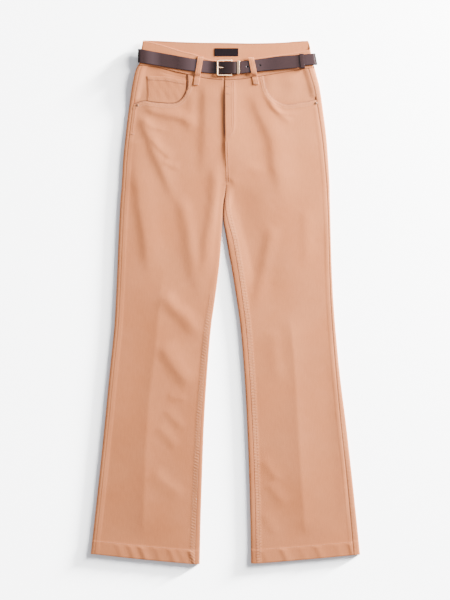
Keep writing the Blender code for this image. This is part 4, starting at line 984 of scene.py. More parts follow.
def in_place(points):
    """Points (x, -drop, z) in table millimetres to the frame's metres."""
    return (points + (-MIDDLE_X, HALF_LENGTH, 0)) * MM


def ring_faces(ring, after):
    """Quads between rings of points and the rings after them."""
    return np.stack([ring, np.roll(ring, -1, 1), np.roll(after, -1, 1), after],
                    -1).reshape(-1, 4).tolist()


def face_outward(mesh):
    bm = bmesh.new()
    bm.from_mesh(mesh)
    bmesh.ops.recalc_face_normals(bm, faces=bm.faces)
    bm.to_mesh(mesh)
    bm.free()


class Strip:
    """A strip's middle surface: stations with the ends of its width, a normal and a
    thickness, in table millimetres (x, -drop, z)."""

    def __init__(self, stations):
        rows = np.array([[*upper, *lower, *normal, thick]
                         for upper, lower, normal, thick in stations], float)
        self.upper, self.lower, self.normal = rows[:, 0:3], rows[:, 3:6], rows[:, 6:9]
        self.thick = rows[:, 9]
        self.measure()

    def measure(self):
        self.middle = (self.upper + self.lower) / 2
        self.along = along_line(self.middle)
        self.width = np.linalg.norm(self.lower - self.upper, axis=1)

    def refine(self, step):
        """Smooth stations about a step apart, closer at the ends, squared normals."""
        at = [np.linspace(a, b, max(1, math.ceil((b - a) / step)), endpoint=False)
              for a, b in zip(self.along, self.along[1:])]
        near = self.thick[0] * np.array([0.06, 0.16, 0.3, 0.5])
        at = np.sort(np.concatenate([*at, [self.along[-1]], near, self.along[-1] - near]))
        for name in ("upper", "lower", "normal"):
            setattr(self, name, curve_through(self.along, getattr(self, name), at))
        self.thick = np.interp(at, self.along, self.thick)
        self.measure()
        run = np.gradient(self.middle, axis=0)
        square = np.cross(run, self.lower - self.upper)
        square /= np.linalg.norm(square, axis=1)[:, None]
        square *= np.sign((square * self.normal).sum(1))[:, None]
        self.normal = square
        return self

    def on_face(self, reach, which, face=1):
        """A line along some stations, reach from the upper edge (or from the lower, below 0),
        on the face that the normal points out of, or on the other one (-1)."""
        t = np.where(reach >= 0, reach, self.width + reach) / self.width
        points = self.upper + (self.lower - self.upper) * t[:, None]
        return (points + face * self.normal * (self.thick / 2)[:, None])[which]

    def build(self, name, finish, middle_columns, relief=None, closed=False):
        """Skin both faces with rounded edges, and rounded ends where it isn't a closed ring."""
        thick, width = self.thick[:, None], self.width[:, None]
        near = SKIN_STEPS * np.minimum(thick, 2.0) / 1.4
        inner = mix(near[:, -1:], width - near[:, -1:], between(middle_columns))
        d = np.concatenate([near, inner, width - near[:, ::-1]], 1)
        self.columns = d
        corner = EDGE_ROUND * thick
        from_edge = np.minimum(np.minimum(d, width - d), corner)
        half = thick / 2 - corner + np.sqrt(corner ** 2 - (corner - from_edge) ** 2)
        if not closed:
            to_end = np.minimum(self.along, self.along[-1] - self.along)[:, None]
            t = np.clip(to_end / corner, 0, 1)
            half = half * (0.15 + 0.85 * np.sqrt(1 - (1 - t) ** 2))
        bump = 0.0 if relief is None else relief(self.along[:, None], d, width)
        flat = (self.lower - self.upper)[:, None] * (d / width)[..., None]
        flat = flat + self.upper[:, None]
        out = self.normal[:, None]
        skin = np.concatenate([flat + out * (half + bump)[..., None],
                               (flat - out * (half + bump)[..., None])[:, ::-1]], 1)
        rows, count = skin.shape[:2]
        ring = np.arange(rows * count).reshape(rows, count)
        if closed:
            quads = ring_faces(ring, np.roll(ring, -1, 0))
        else:
            quads = ring_faces(ring[:-1], ring[1:])
            for base in (0, (rows - 1) * count):
                quads += [(base + k, base + k + 1, base + count - 2 - k, base + count - 1 - k)
                          for k in range(count // 2 - 1)]
        item = mesh_object(name, in_place(skin.reshape(-1, 3)), quads)
        face_outward(item.data)
        round_it = np.concatenate([d, 2 * width - d[:, ::-1] + 1], 1)
        along = np.broadcast_to(self.along[:, None], round_it.shape)
        lay_flat(item.data, np.stack([along, round_it], -1).reshape(-1, 2), finish)
        return item

    def mark(self, item, name, values):
        """Give the skinned mesh a mark from a function of the place along and across."""
        both = np.concatenate([self.columns, self.columns[:, ::-1]], 1)
        set_mark(item.data, name, values(self.along[:, None], both, self.width[:, None]))


def band_stations():
    """Up the wearer's right front from the centre, across the back and down the left front."""
    front_z = WAIST_LIFT + 2 * EDGE_RADIUS - WAISTBAND / 2
    back_z = WAIST_LIFT + WAISTBAND / 2
    centre, stations = curve_at(CENTRE_FRONT, 60), []

    def fold(side, drop):
        return side * curve_at(BAND_SIDE[side], drop)

    def front_run(side, from_centre):
        steps = np.linspace(0, 1, FRONT_STATIONS)
        for t in steps if from_centre else steps[::-1]:
            ends = []
            for table, clear in ((WAIST_TOP, 0.0), (WAIST_SEAM, BAND_CLEAR)):
                end = fold(side, curve_at(table, side * BAND_FRONT_X)) - side * BAND_BEND
                x = mix(centre + side * SEAM_GAP / 2, end, t)
                ends.append((x, clear - curve_at(table, x), front_z))
            stations.append((*ends, (0, 0, 1), WAISTBAND))

    def turn(side, going_down):
        radius = (front_z - back_z) / 2
        back_top = curve_at(BACK_TOP, side * BAND_BACK_X)
        front_top = curve_at(WAIST_TOP, side * BAND_FRONT_X)
        seam = curve_at(WAIST_SEAM, side * WAIST_OUT_X)
        for t in between(TURN_STATIONS):
            angle = math.pi * (t - 0.5) * (-1 if going_down else 1)
            out, z = math.cos(angle), (front_z + back_z) / 2 + radius * math.sin(angle)
            at_front = (z - back_z) / (front_z - back_z)
            ends = []
            for drop in (mix(back_top, front_top, at_front),
                         mix(BACK_SEAM_DROP, seam, at_front) - BAND_CLEAR):
                inset = radius * (1 - out) + WAISTBAND / 2
                ends.append((fold(side, drop) - side * inset, -drop, z))
            stations.append((*ends, (side * out, 0, math.sin(angle)), WAISTBAND))

    front_run(-1, True)
    turn(-1, True)
    for t in np.linspace(0, 1, BACK_STATIONS):
        ends = []
        for drop in (0.0, BACK_SEAM_DROP - BAND_CLEAR):
            x = mix(fold(-1, drop) + BAND_BEND, fold(1, drop) - BAND_BEND, t)
            ends.append((x, -drop or -curve_at(BACK_TOP, x), back_z))
        stations.append((*ends, (0, 0, -1), WAISTBAND))
    turn(1, False)
    front_run(1, False)
    return stations


def band_relief(along, d, width):
    lines = groove(d, BAND_STITCH, 0.8) + groove(width - d, BAND_STITCH, 0.8)
    ripple = np.sin(2 * math.pi * (along + 0.4 * d) / 9.0 + 2.0 * np.sin(along / 31.0))
    near = groove(d, BAND_STITCH, 2.6) + groove(width - d, BAND_STITCH, 2.6)
    wave = 0.16 * np.sin(along / 17 + 0.12 * d + 1.5 * np.sin(along / 43))
    return -0.22 * lines + 0.07 * ripple * near + wave * np.sin(math.pi * d / width)


band = Strip(band_stations())
waistband = band.build("waistband_strip", denim, 26, band_relief)
band.mark(waistband, "worn", lambda s, d, w: 0.75 * groove(np.minimum(d, w - d), 0.4, 1.0))
# painted shade along the band's lower edge, at the seam
band.mark(waistband, "dark_and_shade", lambda s, d, w: 0.45 * groove(w - d, 0.0, 0.8))
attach(waistband, "root")
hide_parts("waistband")

# ================================================================ the belt
# One dark aubergine-brown pebbled leather strap, 26 mm wide.  It folds round the
# buckle's hinge bar, runs round the waist through the loops, and comes back over itself
# through the buckle; its tip is held by a leather keeper.

# (x, drop of the upper edge, drop of the lower edge): "left" and "right" are the photograph's
BELT_LEFT_RUN = np.array([(-182, 15.6, 44.9), (-150, 22.0, 50.0), (-110, 29.2, 57.0),
                          (-57, 38.6, 64.6), (-25, 42.0, 68.0), (0, 43.2, 69.0)])
BELT_FREE_RUN = np.array([(0, 43.2, 69.0), (30, 42.6, 68.4), (60, 39.8, 65.2),
                          (90, 36.0, 62.0), (120, 32.6, 59.4), (150, 30.2, 56.6),
                          (170, 29.0, 54.8)])
BELT_UNDER_RUN = np.array([(0, 43.2, 69.0), (30, 42.6, 68.4), (60, 39.4, 64.8),
                           (90, 35.2, 60.8), (120, 31.4, 57.0), (150, 29.4, 53.0),
                           (185, 26.0, 49.8)])
BELT_BACK_RUN = np.array([(-182, 15.6, 44.9), (0, 21.0, 47.6), (185, 26.0, 49.8)])
BELT_SIDE = {-1: (182.7, 182.7), 1: (189.6, 194.0)}     # how far out its two edges turn
BELT_FRONT_Z, BELT_BACK_Z, BELT_RIGHT_Z = 10.7, 2.7, 11.9
LEATHER, SKIVED, BAR_RADIUS = 2.2, 1.2, 1.1
# (x, z) of the strap's middle: under the free end, and the free end itself
UNDER_FALL = ((19, 13.4), (24.4, 11.9), (32, 11.8), (42, 11.1), (52, 10.7), (70, 10.7),
              (90, 10.7), (110, 11.0), (130, 11.5), (150, 11.9), (168, 11.9))
FREE_RISE = ((-14, 10.8), (-10, 12.0), (-5, 13.6), (0, 14.8), (5, 15.6), (10, 16.1),
             (16, 16.4), (20, 15.9), (24, 14.9), (28, 14.4), (34, 14.2), (42, 13.6), (52, 13.2),
             (70, 13.2), (90, 13.2), (110, 13.5), (130, 14.0), (150, 14.4), (159, 14.4))
BELT_TIP_X, BELT_TIP_Z, TIP_ROUND, TIP_DEEP = 166.5, 14.4, 8.0, 9.0
HINGE_X, HINGE_Z = 14.0, 12.3
# holes in the free end: place, half of the extra length, and where the cut starts from
HOLES = ((-6.0, 2.3, 9.2), (47.3, 0.0, 11.95), (73.7, 0.0, 11.95))
HOLE_RADIUS, CUT_TOP = 1.7, 18.0
FOLD_SLOT = ((6.5, 19.5), 2.6, (9.0, 15.05))      # x, half of its width, z


def belt_edge(table, x):
    return curve_at(table[:, (0, 1)], x), curve_at(table[:, (0, 2)], x)


def belt_middle(table, x):
    return sum(belt_edge(table, x)) / 2


def belt_station(x_up, x_low, z, normal, thick, table):
    upper, lower = belt_edge(table, x_up)[0], belt_edge(table, x_low)[1]
    return (x_up, -upper, z), (x_low, -lower, z), normal, thick


def tilted(run, table, first=LEATHER):
    """Stations along (x, z) points, square to the run; the first may be skived thin."""
    stations = []
    for k, (x, z) in enumerate(run):
        before, after = run[max(k - 1, 0)], run[min(k + 1, len(run) - 1)]
        normal = (before[1] - after[1], 0, after[0] - before[0])
        size = math.hypot(normal[0], normal[2])
        stations.append(belt_station(x, x, z, (normal[0] / size, 0, normal[2] / size),
                                     LEATHER if k else first, table))
    return stations


def belt_stations():
    """Round the hinge bar, under the free end, round the waist and out through the buckle."""
    middle = SKIVED / 2 + BAR_RADIUS + SEAM_GAP
    path = [belt_station(22.5, 22.5, HINGE_Z - middle - 0.1, (0, 0, -1), SKIVED,
                         BELT_UNDER_RUN)]
    for k in range(7):
        angle = math.radians(-90 - 30 * k)
        x = HINGE_X + middle * math.cos(angle)
        path.append(belt_station(x, x, HINGE_Z + middle * math.sin(angle),
                                 (math.cos(angle), 0, math.sin(angle)), SKIVED,
                                 BELT_UNDER_RUN))
    path += tilted(UNDER_FALL, BELT_UNDER_RUN, first=1.6)
    for side, top_z in ((1, BELT_RIGHT_Z), (-1, BELT_FRONT_Z)):
        front = BELT_UNDER_RUN if side > 0 else BELT_LEFT_RUN
        radius, mid_z = (top_z - BELT_BACK_Z) / 2, (top_z + BELT_BACK_Z) / 2
        for k in range(9):
            angle = math.pi * (k / 8 - 0.5) * (-1 if side > 0 else 1)
            out, z = math.cos(angle), mid_z + radius * math.sin(angle)
            x_up, x_low = [side * (edge - LEATHER / 2 - radius * (1 - out))
                           for edge in BELT_SIDE[side]]
            path.append(belt_station(x_up, x_low, z, (side * out, 0, math.sin(angle)),
                                     LEATHER, front if z > mid_z else BELT_BACK_RUN))
        if side > 0:
            path += [belt_station(x, x, BELT_BACK_Z, (0, 0, -1), LEATHER, BELT_BACK_RUN)
                     for x in np.linspace(170, -170, 13)[1:-1]]
    level = (-165, -148, -130, -110, -90, -70, -50, -32, -18)
    path += tilted([(x, BELT_FRONT_Z) for x in level], BELT_LEFT_RUN)
    path += tilted(FREE_RISE, BELT_FREE_RUN)
    path.append(belt_station(BELT_TIP_X, BELT_TIP_X, BELT_TIP_Z, (0, 0, 1), LEATHER,
                             BELT_FREE_RUN))
    return path


def apply_modifiers(item):
    """Put the evaluated mesh in the place of the plain one."""
    bpy.context.view_layer.update()
    shape = item.evaluated_get(bpy.context.evaluated_depsgraph_get())
    mesh = bpy.data.meshes.new_from_object(shape)
    item.modifiers.clear()
    item.data = mesh


def cut_with(item, cutters, operation="DIFFERENCE"):
    """Cut or join closed meshes, and keep only the result."""
    for tool in cutters:
        step = item.modifiers.new("cut", "BOOLEAN")
        step.operation, step.solver, step.object = operation, "EXACT", tool
    apply_modifiers(item)
    for tool in cutters:
        bpy.data.objects.remove(tool)
    return item


def ring_solid(name, points, sides):
    """A closed solid through rings of points, with flat ends."""
    ring = np.arange(len(points)).reshape(-1, sides)
    faces = ring_faces(ring[:-1], ring[1:]) + [tuple(ring[0][::-1]), tuple(ring[-1])]
    item = mesh_object(name, points, faces)
    face_outward(item.data)
    return item


def column(name, outline, low, high):
    """An upright closed column on an outline of (x, drop) points."""
    x, drop = np.array(outline).T
    return ring_solid(name, np.concatenate([in_frame(x, drop, z) for z in (low, high)]), len(x))


BEND_X = 0.003                         # where the strap bends over the bar, in metres
EDGE_TURN = 0.93                       # a face whose normal rises less than this is an edge
# painted sheen: how far the strap's face is painted a paler colour where highlights lie, as (x,
# share), within the reach on either side of the centre
PAINTED_SHEEN_REACH = 200
PAINTED_SHEEN = ((-176, 0.0), (-170, 0.05), (-160, 0.7), (-152, 0.98), (-143, 0.7), (-135, 0.22),
          (-118, 0.12), (-100, 0.02), (-90, 0.28), (-80, 0.65), (-69, 0.9), (-52, 0.85),
          (-38, 0.75), (-28, 0.0), (28, 0.1), (50, 0.6), (72, 0.5), (85, 0.35),
          (107, 0.3), (132, 0.25), (145, 0.3), (158, 0.05), (170, 0.5), (190, 0.4))


def leather_finish(name, colour, dark_and_shade, roughness, gloss=0.45, wear_and_sheen=None):
    """Pebbled leather: small rounded grains with fine creases between them; a painted sheen where
    one is given, and painted shade where it bends.
    """
    material, tree, shader = new_material(name)
    place = add(tree, "ShaderNodeTexCoord").outputs["Object"]
    grain = add(tree, "ShaderNodeTexVoronoi", {"Vector": place, "Scale": 620.0},
                feature="SMOOTH_F1")
    feed(tree, grain, {"Smoothness": 0.6})
    broad = add(tree, "ShaderNodeTexNoise", {"Vector": place, "Scale": 34.0, "Detail": 5.0})
    pebbles = add(tree, "ShaderNodeMix", {0: 0.35, 2: grain.outputs["Distance"],
                                          3: broad.outputs["Fac"]}).outputs[0]
    paint = blend(tree, ranged(tree, pebbles, 0.2, 0.7, 0.0, 1.0), (*colour, 1), (*dark_and_shade, 1))
    x = add(tree, "ShaderNodeSeparateXYZ", {"Vector": place}).outputs["X"]
    # painted sheen: a paler colour laid in bands along x where the highlights lie
    if wear_and_sheen:
        reach = PAINTED_SHEEN_REACH * MM
        ramp = add(tree, "ShaderNodeValToRGB", {"Fac": ranged(tree, x, -reach, reach, 0.0, 1.0)})
        stops = ramp.color_ramp.elements
        stops.remove(stops[1])
        stops[0].position, stops[0].color = 0.0, (0, 0, 0, 1)
        for at, share in PAINTED_SHEEN:
            stops.new((at / PAINTED_SHEEN_REACH + 1) / 2).color = (share, share, share, 1)
        paint = blend(tree, ramp.outputs["Color"], paint, (*wear_and_sheen, 1))
    # painted shade: it is darkest where it bends over the buckle's bar
    away = reckon(tree, "ABSOLUTE", reckon(tree, "SUBTRACT", x, BEND_X))
    bent = ranged(tree, away, 0.014, 0.021, 0.8, 0.0, interpolation_type="SMOOTHSTEP")
    bumped = add(tree, "ShaderNodeBump", {"Strength": 0.5, "Distance": 0.0003,
                                          "Height": pebbles}, invert=True)
    feed(tree, shader, {"Base Color": blend(tree, bent, paint, (*dark_and_shade, 1)),
                        "Normal": bumped.outputs[0], "Roughness": roughness,
                        "Specular IOR Level": gloss})
    return material


# the second colour is the dark of the grain's pits and of the painted shade at the bend; the
# paler one given below is painted sheen
LEATHER_COLOUR, LEATHER_DARK_AND_SHADE = (0.031, 0.0115, 0.0115), (0.014, 0.0045, 0.004)
leather = leather_finish("pebbled_leather", LEATHER_COLOUR, LEATHER_DARK_AND_SHADE, 0.38,
                         wear_and_sheen=(0.062, 0.035, 0.038))

strap = Strip(belt_stations()).refine(2.2)
# on the front it waves a little, but not in the buckle
x, z = strap.middle[:, 0], strap.middle[:, 2]
waves = 0.3 * (1 - np.cos(2 * math.pi * (x + 100) / 62))
waves *= smooth((z - 8) / 2) * smooth((np.abs(x - 4) - 32) / 12)
strap.upper[:, 2] += waves
strap.lower[:, 2] += waves
# its tip is cut round
to_tip = strap.along[-1] - strap.along
nose = TIP_DEEP * (1 - np.sqrt(1 - np.clip(1 - to_tip / TIP_ROUND, 0, 1) ** 2))
toward = (strap.lower - strap.upper) / strap.width[:, None]
strap.upper = strap.upper + toward * nose[:, None]
strap.lower = strap.lower - toward * nose[:, None]
strap.measure()
belt = strap.build("belt_leather_strap", leather, 14)
cutters = []
turn = np.linspace(0, 2 * math.pi, 29)[:-1] + 0.01
for x, reach, bottom in HOLES:
    middle = belt_middle(BELT_FREE_RUN, x)
    outline = [(x + math.copysign(reach, math.cos(a)) + HOLE_RADIUS * math.cos(a),
                middle + HOLE_RADIUS * math.sin(a)) for a in turn]
    cutters.append(column("belt_hole", outline, bottom, CUT_TOP))
(slot_from, slot_to), half, (slot_low, slot_high) = FOLD_SLOT
middle = belt_middle(BELT_UNDER_RUN, HINGE_X)
cutters.append(column("fold_slot", [(slot_from, middle - half), (slot_to, middle - half),
                                    (slot_to, middle + half), (slot_from, middle + half)],
                      slot_low, slot_high))
cut_with(belt, cutters)
# near-black cut walls for the holes, which paint the shade inside them
cut_edge_and_shade = leather_finish("cut_leather_and_shade", (0.004, 0.002, 0.002), (0.002, 0.001, 0.001), 0.9)
inked_edge = leather_finish("inked_leather_edge", (0.020, 0.011, 0.012),
                            (0.010, 0.005, 0.005), 0.8, 0.08)
belt.data.materials.clear()
for finish in (leather, cut_edge_and_shade, inked_edge):
    belt.data.materials.append(finish)
# the faces round the holes take the near-black walls as painted shade; the steep faces take the
# inked edge
centres = [(hole[0], belt_middle(BELT_FREE_RUN, hole[0])) for hole in HOLES[1:]]
for face in belt.data.polygons:
    x, drop = face.center.x / MM + MIDDLE_X, HALF_LENGTH - face.center.y / MM
    if any(math.hypot(x - at, drop - middle) < HOLE_RADIUS + 0.05 for at, middle in centres):
        face.material_index = 1
    else:
        face.material_index = 2 if abs(face.normal.z) < EDGE_TURN else 0
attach(belt, "root")
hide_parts("belt_strap")

# ================================================================ buckle frame and prong
# A slim square-cornered frame of pale brass whose right side is the hinge bar inside the
# strap's fold, and a round prong that turns on that bar and rests on the left side.

FRAME_X, FRAME_DROP = (-15.9, 14.0), (40.9, 71.7)
FRAME_BAR, FRAME_LEFT_Z, FRAME_CORNER = (2.5, 2.6), 13.7, 3.2
PRONG_RADIUS, PRONG_EYE_WALL, PRONG_EYE_HALF, PRONG_FLAT = 1.05, 0.9, 1.7, 0.9
SHINE_FROM, SHINE_STRENGTH, SHINE_SPREAD = (0.25, 0.15, 1.0), 3.2, 40


def bar(name, path, half_width, half_height, sides=20, squareness=2.0):
    """A bar of rounded section swept along (x, drop, z) points, with domed ends."""
    path = np.array(path, float) * (1, -1, 1)
    run = np.gradient(path, axis=0)
    run /= np.linalg.norm(run, axis=1)[:, None]
    across = np.cross((0, 0, 1), run)
    across /= np.linalg.norm(across, axis=1)[:, None]
    up = np.cross(run, across)
    angle = 2 * math.pi * np.arange(sides) / sides
    c, s = np.cos(angle), np.sin(angle)
    shape = (np.abs(c) ** squareness + np.abs(s) ** squareness) ** (-1 / squareness)
    centres, scales, frames = list(path), [1.0] * len(path), list(range(len(path)))
    for end, sign in ((0, -1), (len(path) - 1, 1)):
        for t in (30, 60, 82):
            t = math.radians(t)
            centre = path[end] + sign * run[end] * half_height * math.sin(t)
            where = len(centres) if sign > 0 else 0
            centres.insert(where, centre)
            scales.insert(where, math.cos(t))
            frames.insert(where, end)
    rings = [centre + scale * (half_width * (c * shape)[:, None] * across[k]
                               + half_height * (s * shape)[:, None] * up[k])
             for centre, scale, k in zip(centres, scales, frames)]
    return ring_solid(name, in_place(np.concatenate(rings)), sides)


def smooth_path(path, step):
    path = np.array(path, float)
    along = along_line(path)
    return curve_through(along, path, np.linspace(0, along[-1], round(along[-1] / step)))


def metal_finish(name, colour, worn_colour, roughness):
    """Plated metal, a little dulled in patches."""
    material, tree, shader = new_material(name)
    place = add(tree, "ShaderNodeTexCoord").outputs["Object"]
    patch = add(tree, "ShaderNodeTexNoise", {"Vector": place, "Scale": 180.0, "Detail": 4.0})
    paint = blend(tree, patch.outputs["Fac"], (*colour, 1), (*worn_colour, 1))
    dull = ranged(tree, patch.outputs["Fac"], 0.3, 0.7, roughness - 0.05, roughness + 0.08)
    feed(tree, shader, {"Base Color": paint, "Roughness": dull, "Metallic": 1.0})
    return material


brass = metal_finish("pale_brass", (0.98, 0.66, 0.42), (0.90, 0.58, 0.33), 0.32)


def finish_metal(item, finish, node):
    mesh = item.data
    mesh.materials.clear()
    mesh.materials.append(finish)
    smooth_faces(mesh)
    mesh.polygons.foreach_set("material_index", np.zeros(len(mesh.polygons), int))
    mesh.set_sharp_from_angle(angle=math.radians(40))
    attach(item, "root")
    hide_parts(node)


left, right = FRAME_X
upper, lower = FRAME_DROP
run = [(right, upper, HINGE_Z), (right - 3, upper, HINGE_Z), (right - 8, upper, FRAME_LEFT_Z),
       (left + 9, upper, FRAME_LEFT_Z)]
run += [(left + FRAME_CORNER * (1 - math.sin(a)), upper + FRAME_CORNER * (1 - math.cos(a)),
         FRAME_LEFT_Z) for a in np.radians(np.arange(0, 91, 10))]
run += [(left, y, FRAME_LEFT_Z) for y in np.linspace(upper + 5, (upper + lower) / 2, 5)]
run += [(x, upper + lower - y, z) for x, y, z in reversed(run[:-1])]
frame_bars = bar("buckle_frame_bars", run, FRAME_BAR[0] / 2, FRAME_BAR[1] / 2, 24, 2.6)
hinge = bar("hinge_bar", [(right, y, HINGE_Z) for y in np.linspace(upper - 0.6, lower + 0.6, 30)],
            BAR_RADIUS, BAR_RADIUS)
finish_metal(cut_with(frame_bars, [hinge], "UNION"), brass, "buckle_frame")

prong_middle = belt_middle(BELT_UNDER_RUN, HINGE_X)
tip_drop = belt_middle(BELT_LEFT_RUN, -15)
eye = BAR_RADIUS + SEAM_GAP + PRONG_EYE_WALL
tip_z = FRAME_LEFT_Z + FRAME_BAR[1] / 2 + SEAM_GAP + PRONG_RADIUS * PRONG_FLAT
run = smooth_path([(HINGE_X - eye + 0.5, prong_middle, HINGE_Z), (8.0, prong_middle, HINGE_Z),
                   (4.0, prong_middle, HINGE_Z),
                   (-1.5, mix(prong_middle, tip_drop, 0.3), HINGE_Z - 0.1),
                   (-7.0, mix(prong_middle, tip_drop, 0.7), HINGE_Z + 2.0),
                   (-13.0, tip_drop, tip_z - 0.3), (-16.8, tip_drop, tip_z)], 1.0)
prong = bar("buckle_prong_pin", run, PRONG_RADIUS, PRONG_RADIUS * PRONG_FLAT)
turn = 2 * math.pi * np.arange(40) / 40
ring = []
for a in turn:
    for reach, across in ((eye - PRONG_EYE_WALL, -0.75), (eye - 0.25, -1), (eye, -0.6),
                          (eye, 0.6), (eye - 0.25, 1), (eye - PRONG_EYE_WALL, 0.75)):
        ring.append(in_frame(HINGE_X + reach * math.cos(a),
                             prong_middle + across * PRONG_EYE_HALF,
                             HINGE_Z + reach * math.sin(a)))
index = np.arange(len(ring)).reshape(-1, 6)
loop = mesh_object("prong_eye", ring, ring_faces(index, np.roll(index, -1, 0)))
face_outward(loop.data)
finish_metal(cut_with(prong, [loop], "UNION"), brass, "buckle_prong")

# a soft light from above that only the frame and the prong mirror
shine_data = bpy.data.lights.new("metal_shine", "SUN")
shine_data.energy, shine_data.angle = SHINE_STRENGTH, math.radians(SHINE_SPREAD)
polished = bpy.data.collections.new("polished_metal")
for item in (frame_bars, prong):
    polished.objects.link(item)
place_light(shine_data, SHINE_FROM, polished)

# ================================================================ the two keepers
# Beside the buckle a bent band of the same brass, and near the tip a leather one; both
# hold the free end down on the strap.

# x, drop and z from and to, the wall, and how far it leans
KEEPERS = {"metal": ((25.2, 30.6), (41.2, 70.0), (9.6, 16.9), 0.8, 0.0),
           "leather": ((157.0, 166.5), (26.8, 57.4), (9.6, 16.7), 0.9, 3.0)}
KEEPER_CORNER = 1.3


def keeper(kind, name, finish, columns):
    (x_from, x_to), (upper, lower), (floor, top), wall, lean = KEEPERS[kind]
    half = wall / 2
    u0, u1, z0, z1 = upper + half, lower - half, floor + half, top - half
    corner, stations = KEEPER_CORNER, []
    for (cy, cz), start in (((u0 + corner, z1 - corner), 90), ((u0 + corner, z0 + corner), 180),
                            ((u1 - corner, z0 + corner), 270), ((u1 - corner, z1 - corner), 0)):
        for k in range(7):
            a = math.radians(start + 15 * k)
            out = (math.cos(a), math.sin(a))
            drop, z = cy + corner * out[0], cz + corner * out[1]
            shift = lean * ((drop - upper) / (lower - upper) - 0.5)
            stations.append(((x_from + shift, -drop, z), (x_to + shift, -drop, z),
                             (0, -out[0], out[1]), wall))
    return Strip(stations).build(name, finish, columns, closed=True)


metal_keeper = keeper("metal", "metal_keeper_band", brass, 3)
finish_metal(metal_keeper, brass, "keeper_metal")

leather_keeper = keeper("leather", "leather_keeper_band", leather, 5)
leather_keeper.data.materials.append(inked_edge)
for face in leather_keeper.data.polygons:
    face.material_index = int(abs(face.normal.z) < EDGE_TURN)
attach(leather_keeper, "root")
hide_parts("keeper_leather")

# ================================================================ the belt loops
# Five narrow strips of folded denim, stitched along both sides and tacked at their ends;
# the two front ones go over the belt, the three at the back pass under it.

LOOP, LOOP_WIDTH, LOOP_STITCH = 1.3, 11.5, 2.5


def front_face(side, x, drop):
    return cloth_height(side, x, drop) + front_relief(side, x, drop)[0]


def loop_station(x, drop, z, facing):
    half = LOOP_WIDTH / 2
    return (x - half, -drop, z), (x + half, -drop, z), (0, 0, facing), LOOP


def front_loop(side, x_top, x_low, belt, belt_top_z, top_drop, low_drop):
    """Over the belt: x and drop of its top and low ends, and the belt's run and its top."""
    rest = WAIST_LIFT + 2 * EDGE_RADIUS + SEAM_GAP + LOOP / 2
    over = belt_top_z + SEAM_GAP + LOOP / 2
    x_mid = (x_top + x_low) / 2
    belt_up, belt_low = belt_edge(belt, x_mid)
    slope = abs(belt_edge(belt, x_mid + LOOP_WIDTH / 2)[0] - belt_up)
    stations = []
    for drop, z in ((top_drop, rest), (belt_up - 4.5 - slope, rest),
                    (belt_up - 1.8 - slope, over - 0.1), ((belt_up + belt_low) / 2, over + 0.15),
                    (belt_low + 1.6 + slope, over - 0.1), (belt_low + 8.5 + slope, rest),
                    (mix(belt_low, low_drop, 0.6), rest), (low_drop, rest)):
        x = mix(x_top, x_low, (drop - top_drop) / (low_drop - top_drop))
        if drop > belt_low + 4:
            below = front_face(side, np.array([x]), np.array([drop]))[0]
            z = float(below) + SEAM_GAP + 0.2 + LOOP / 2
        stations.append(loop_station(x, drop, z, 1))
    return Strip(stations).refine(1.0)


def back_loop(x):
    """Under the belt's back run, which lies between it and the waistband."""
    belt_up, belt_low = belt_edge(BELT_BACK_RUN, x)
    high, low = WAIST_LIFT - SEAM_GAP - LOOP / 2, LOOP / 2
    run = ((7.5, high), (belt_up - 6.0, high), (belt_up - 2.5, low), (belt_low + 2.0, low),
           (belt_low + 5.5, high), (belt_low + 14, high))
    return Strip([loop_station(x, drop, z, -1) for drop, z in run])


def loop_relief(along, d, width):
    return (-0.2 * groove(d, LOOP_STITCH, 0.7) - 0.2 * groove(width - d, LOOP_STITCH, 0.7)
            + 0.12 * groove(d, width / 2, 2.2))


belt_top = BELT_FRONT_Z + LEATHER / 2
loops = {
    "loop_front_right": front_loop(-1, -51.0, -61.0, BELT_LEFT_RUN, belt_top, 31.5, 93.0),
    "loop_front_left": front_loop(1, 54.5, 65.5, BELT_FREE_RUN,
                                  belt_top + SEAM_GAP + LEATHER + 0.1, 35.5, 91.5),
    "loop_back_right": back_loop(-108.0), "loop_back_centre": back_loop(0.0),
    "loop_back_left": back_loop(108.0)}
for node, strip in loops.items():
    item = strip.build("belt_" + node, denim, 10, loop_relief)
    strip.mark(item, "worn", lambda s, d, w: 0.8 * groove(np.minimum(d, w - d), 0.3, 0.9))
    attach(item, "root")
    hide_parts(node)

# ================================================================ rivets and label
# A domed rivet at the outer end of each pocket opening, and a blank dark woven label
# sewn inside the back waistband.

RIVET_AT = {-1: (184.0, 134.4), 1: (190.6, 130.0)}
RIVET_RADIUS, RIVET_HEIGHT = 2.6, 1.1
# its turned shape, as shares of the radius and of the height
RIVET_SHAPE = ((1.0, 0.0), (1.03, 0.25), (0.97, 0.55), (0.82, 0.80), (0.66, 0.86), (0.50, 0.72),
               (0.36, 0.72), (0.28, 0.95), (0.12, 1.0))
copper = metal_finish("darkened_copper", (0.40, 0.22, 0.13), (0.26, 0.14, 0.09), 0.38)
for side, name, node in ((-1, "right_pocket_rivet", "rivet_right"),
                         (1, "left_pocket_rivet", "rivet_left")):
    w, drop = RIVET_AT[side]
    base = float(cloth_height(side, np.array([side * w]), np.array([drop]))[0]) + SEAM_GAP
    turn = 2 * math.pi * np.arange(32) / 32
    points = np.concatenate([in_frame(side * w + RIVET_RADIUS * r * np.cos(turn),
                                      drop + RIVET_RADIUS * r * np.sin(turn),
                                      base + RIVET_HEIGHT * h) for r, h in RIVET_SHAPE])
    finish_metal(ring_solid(name, points, len(turn)), copper, node)

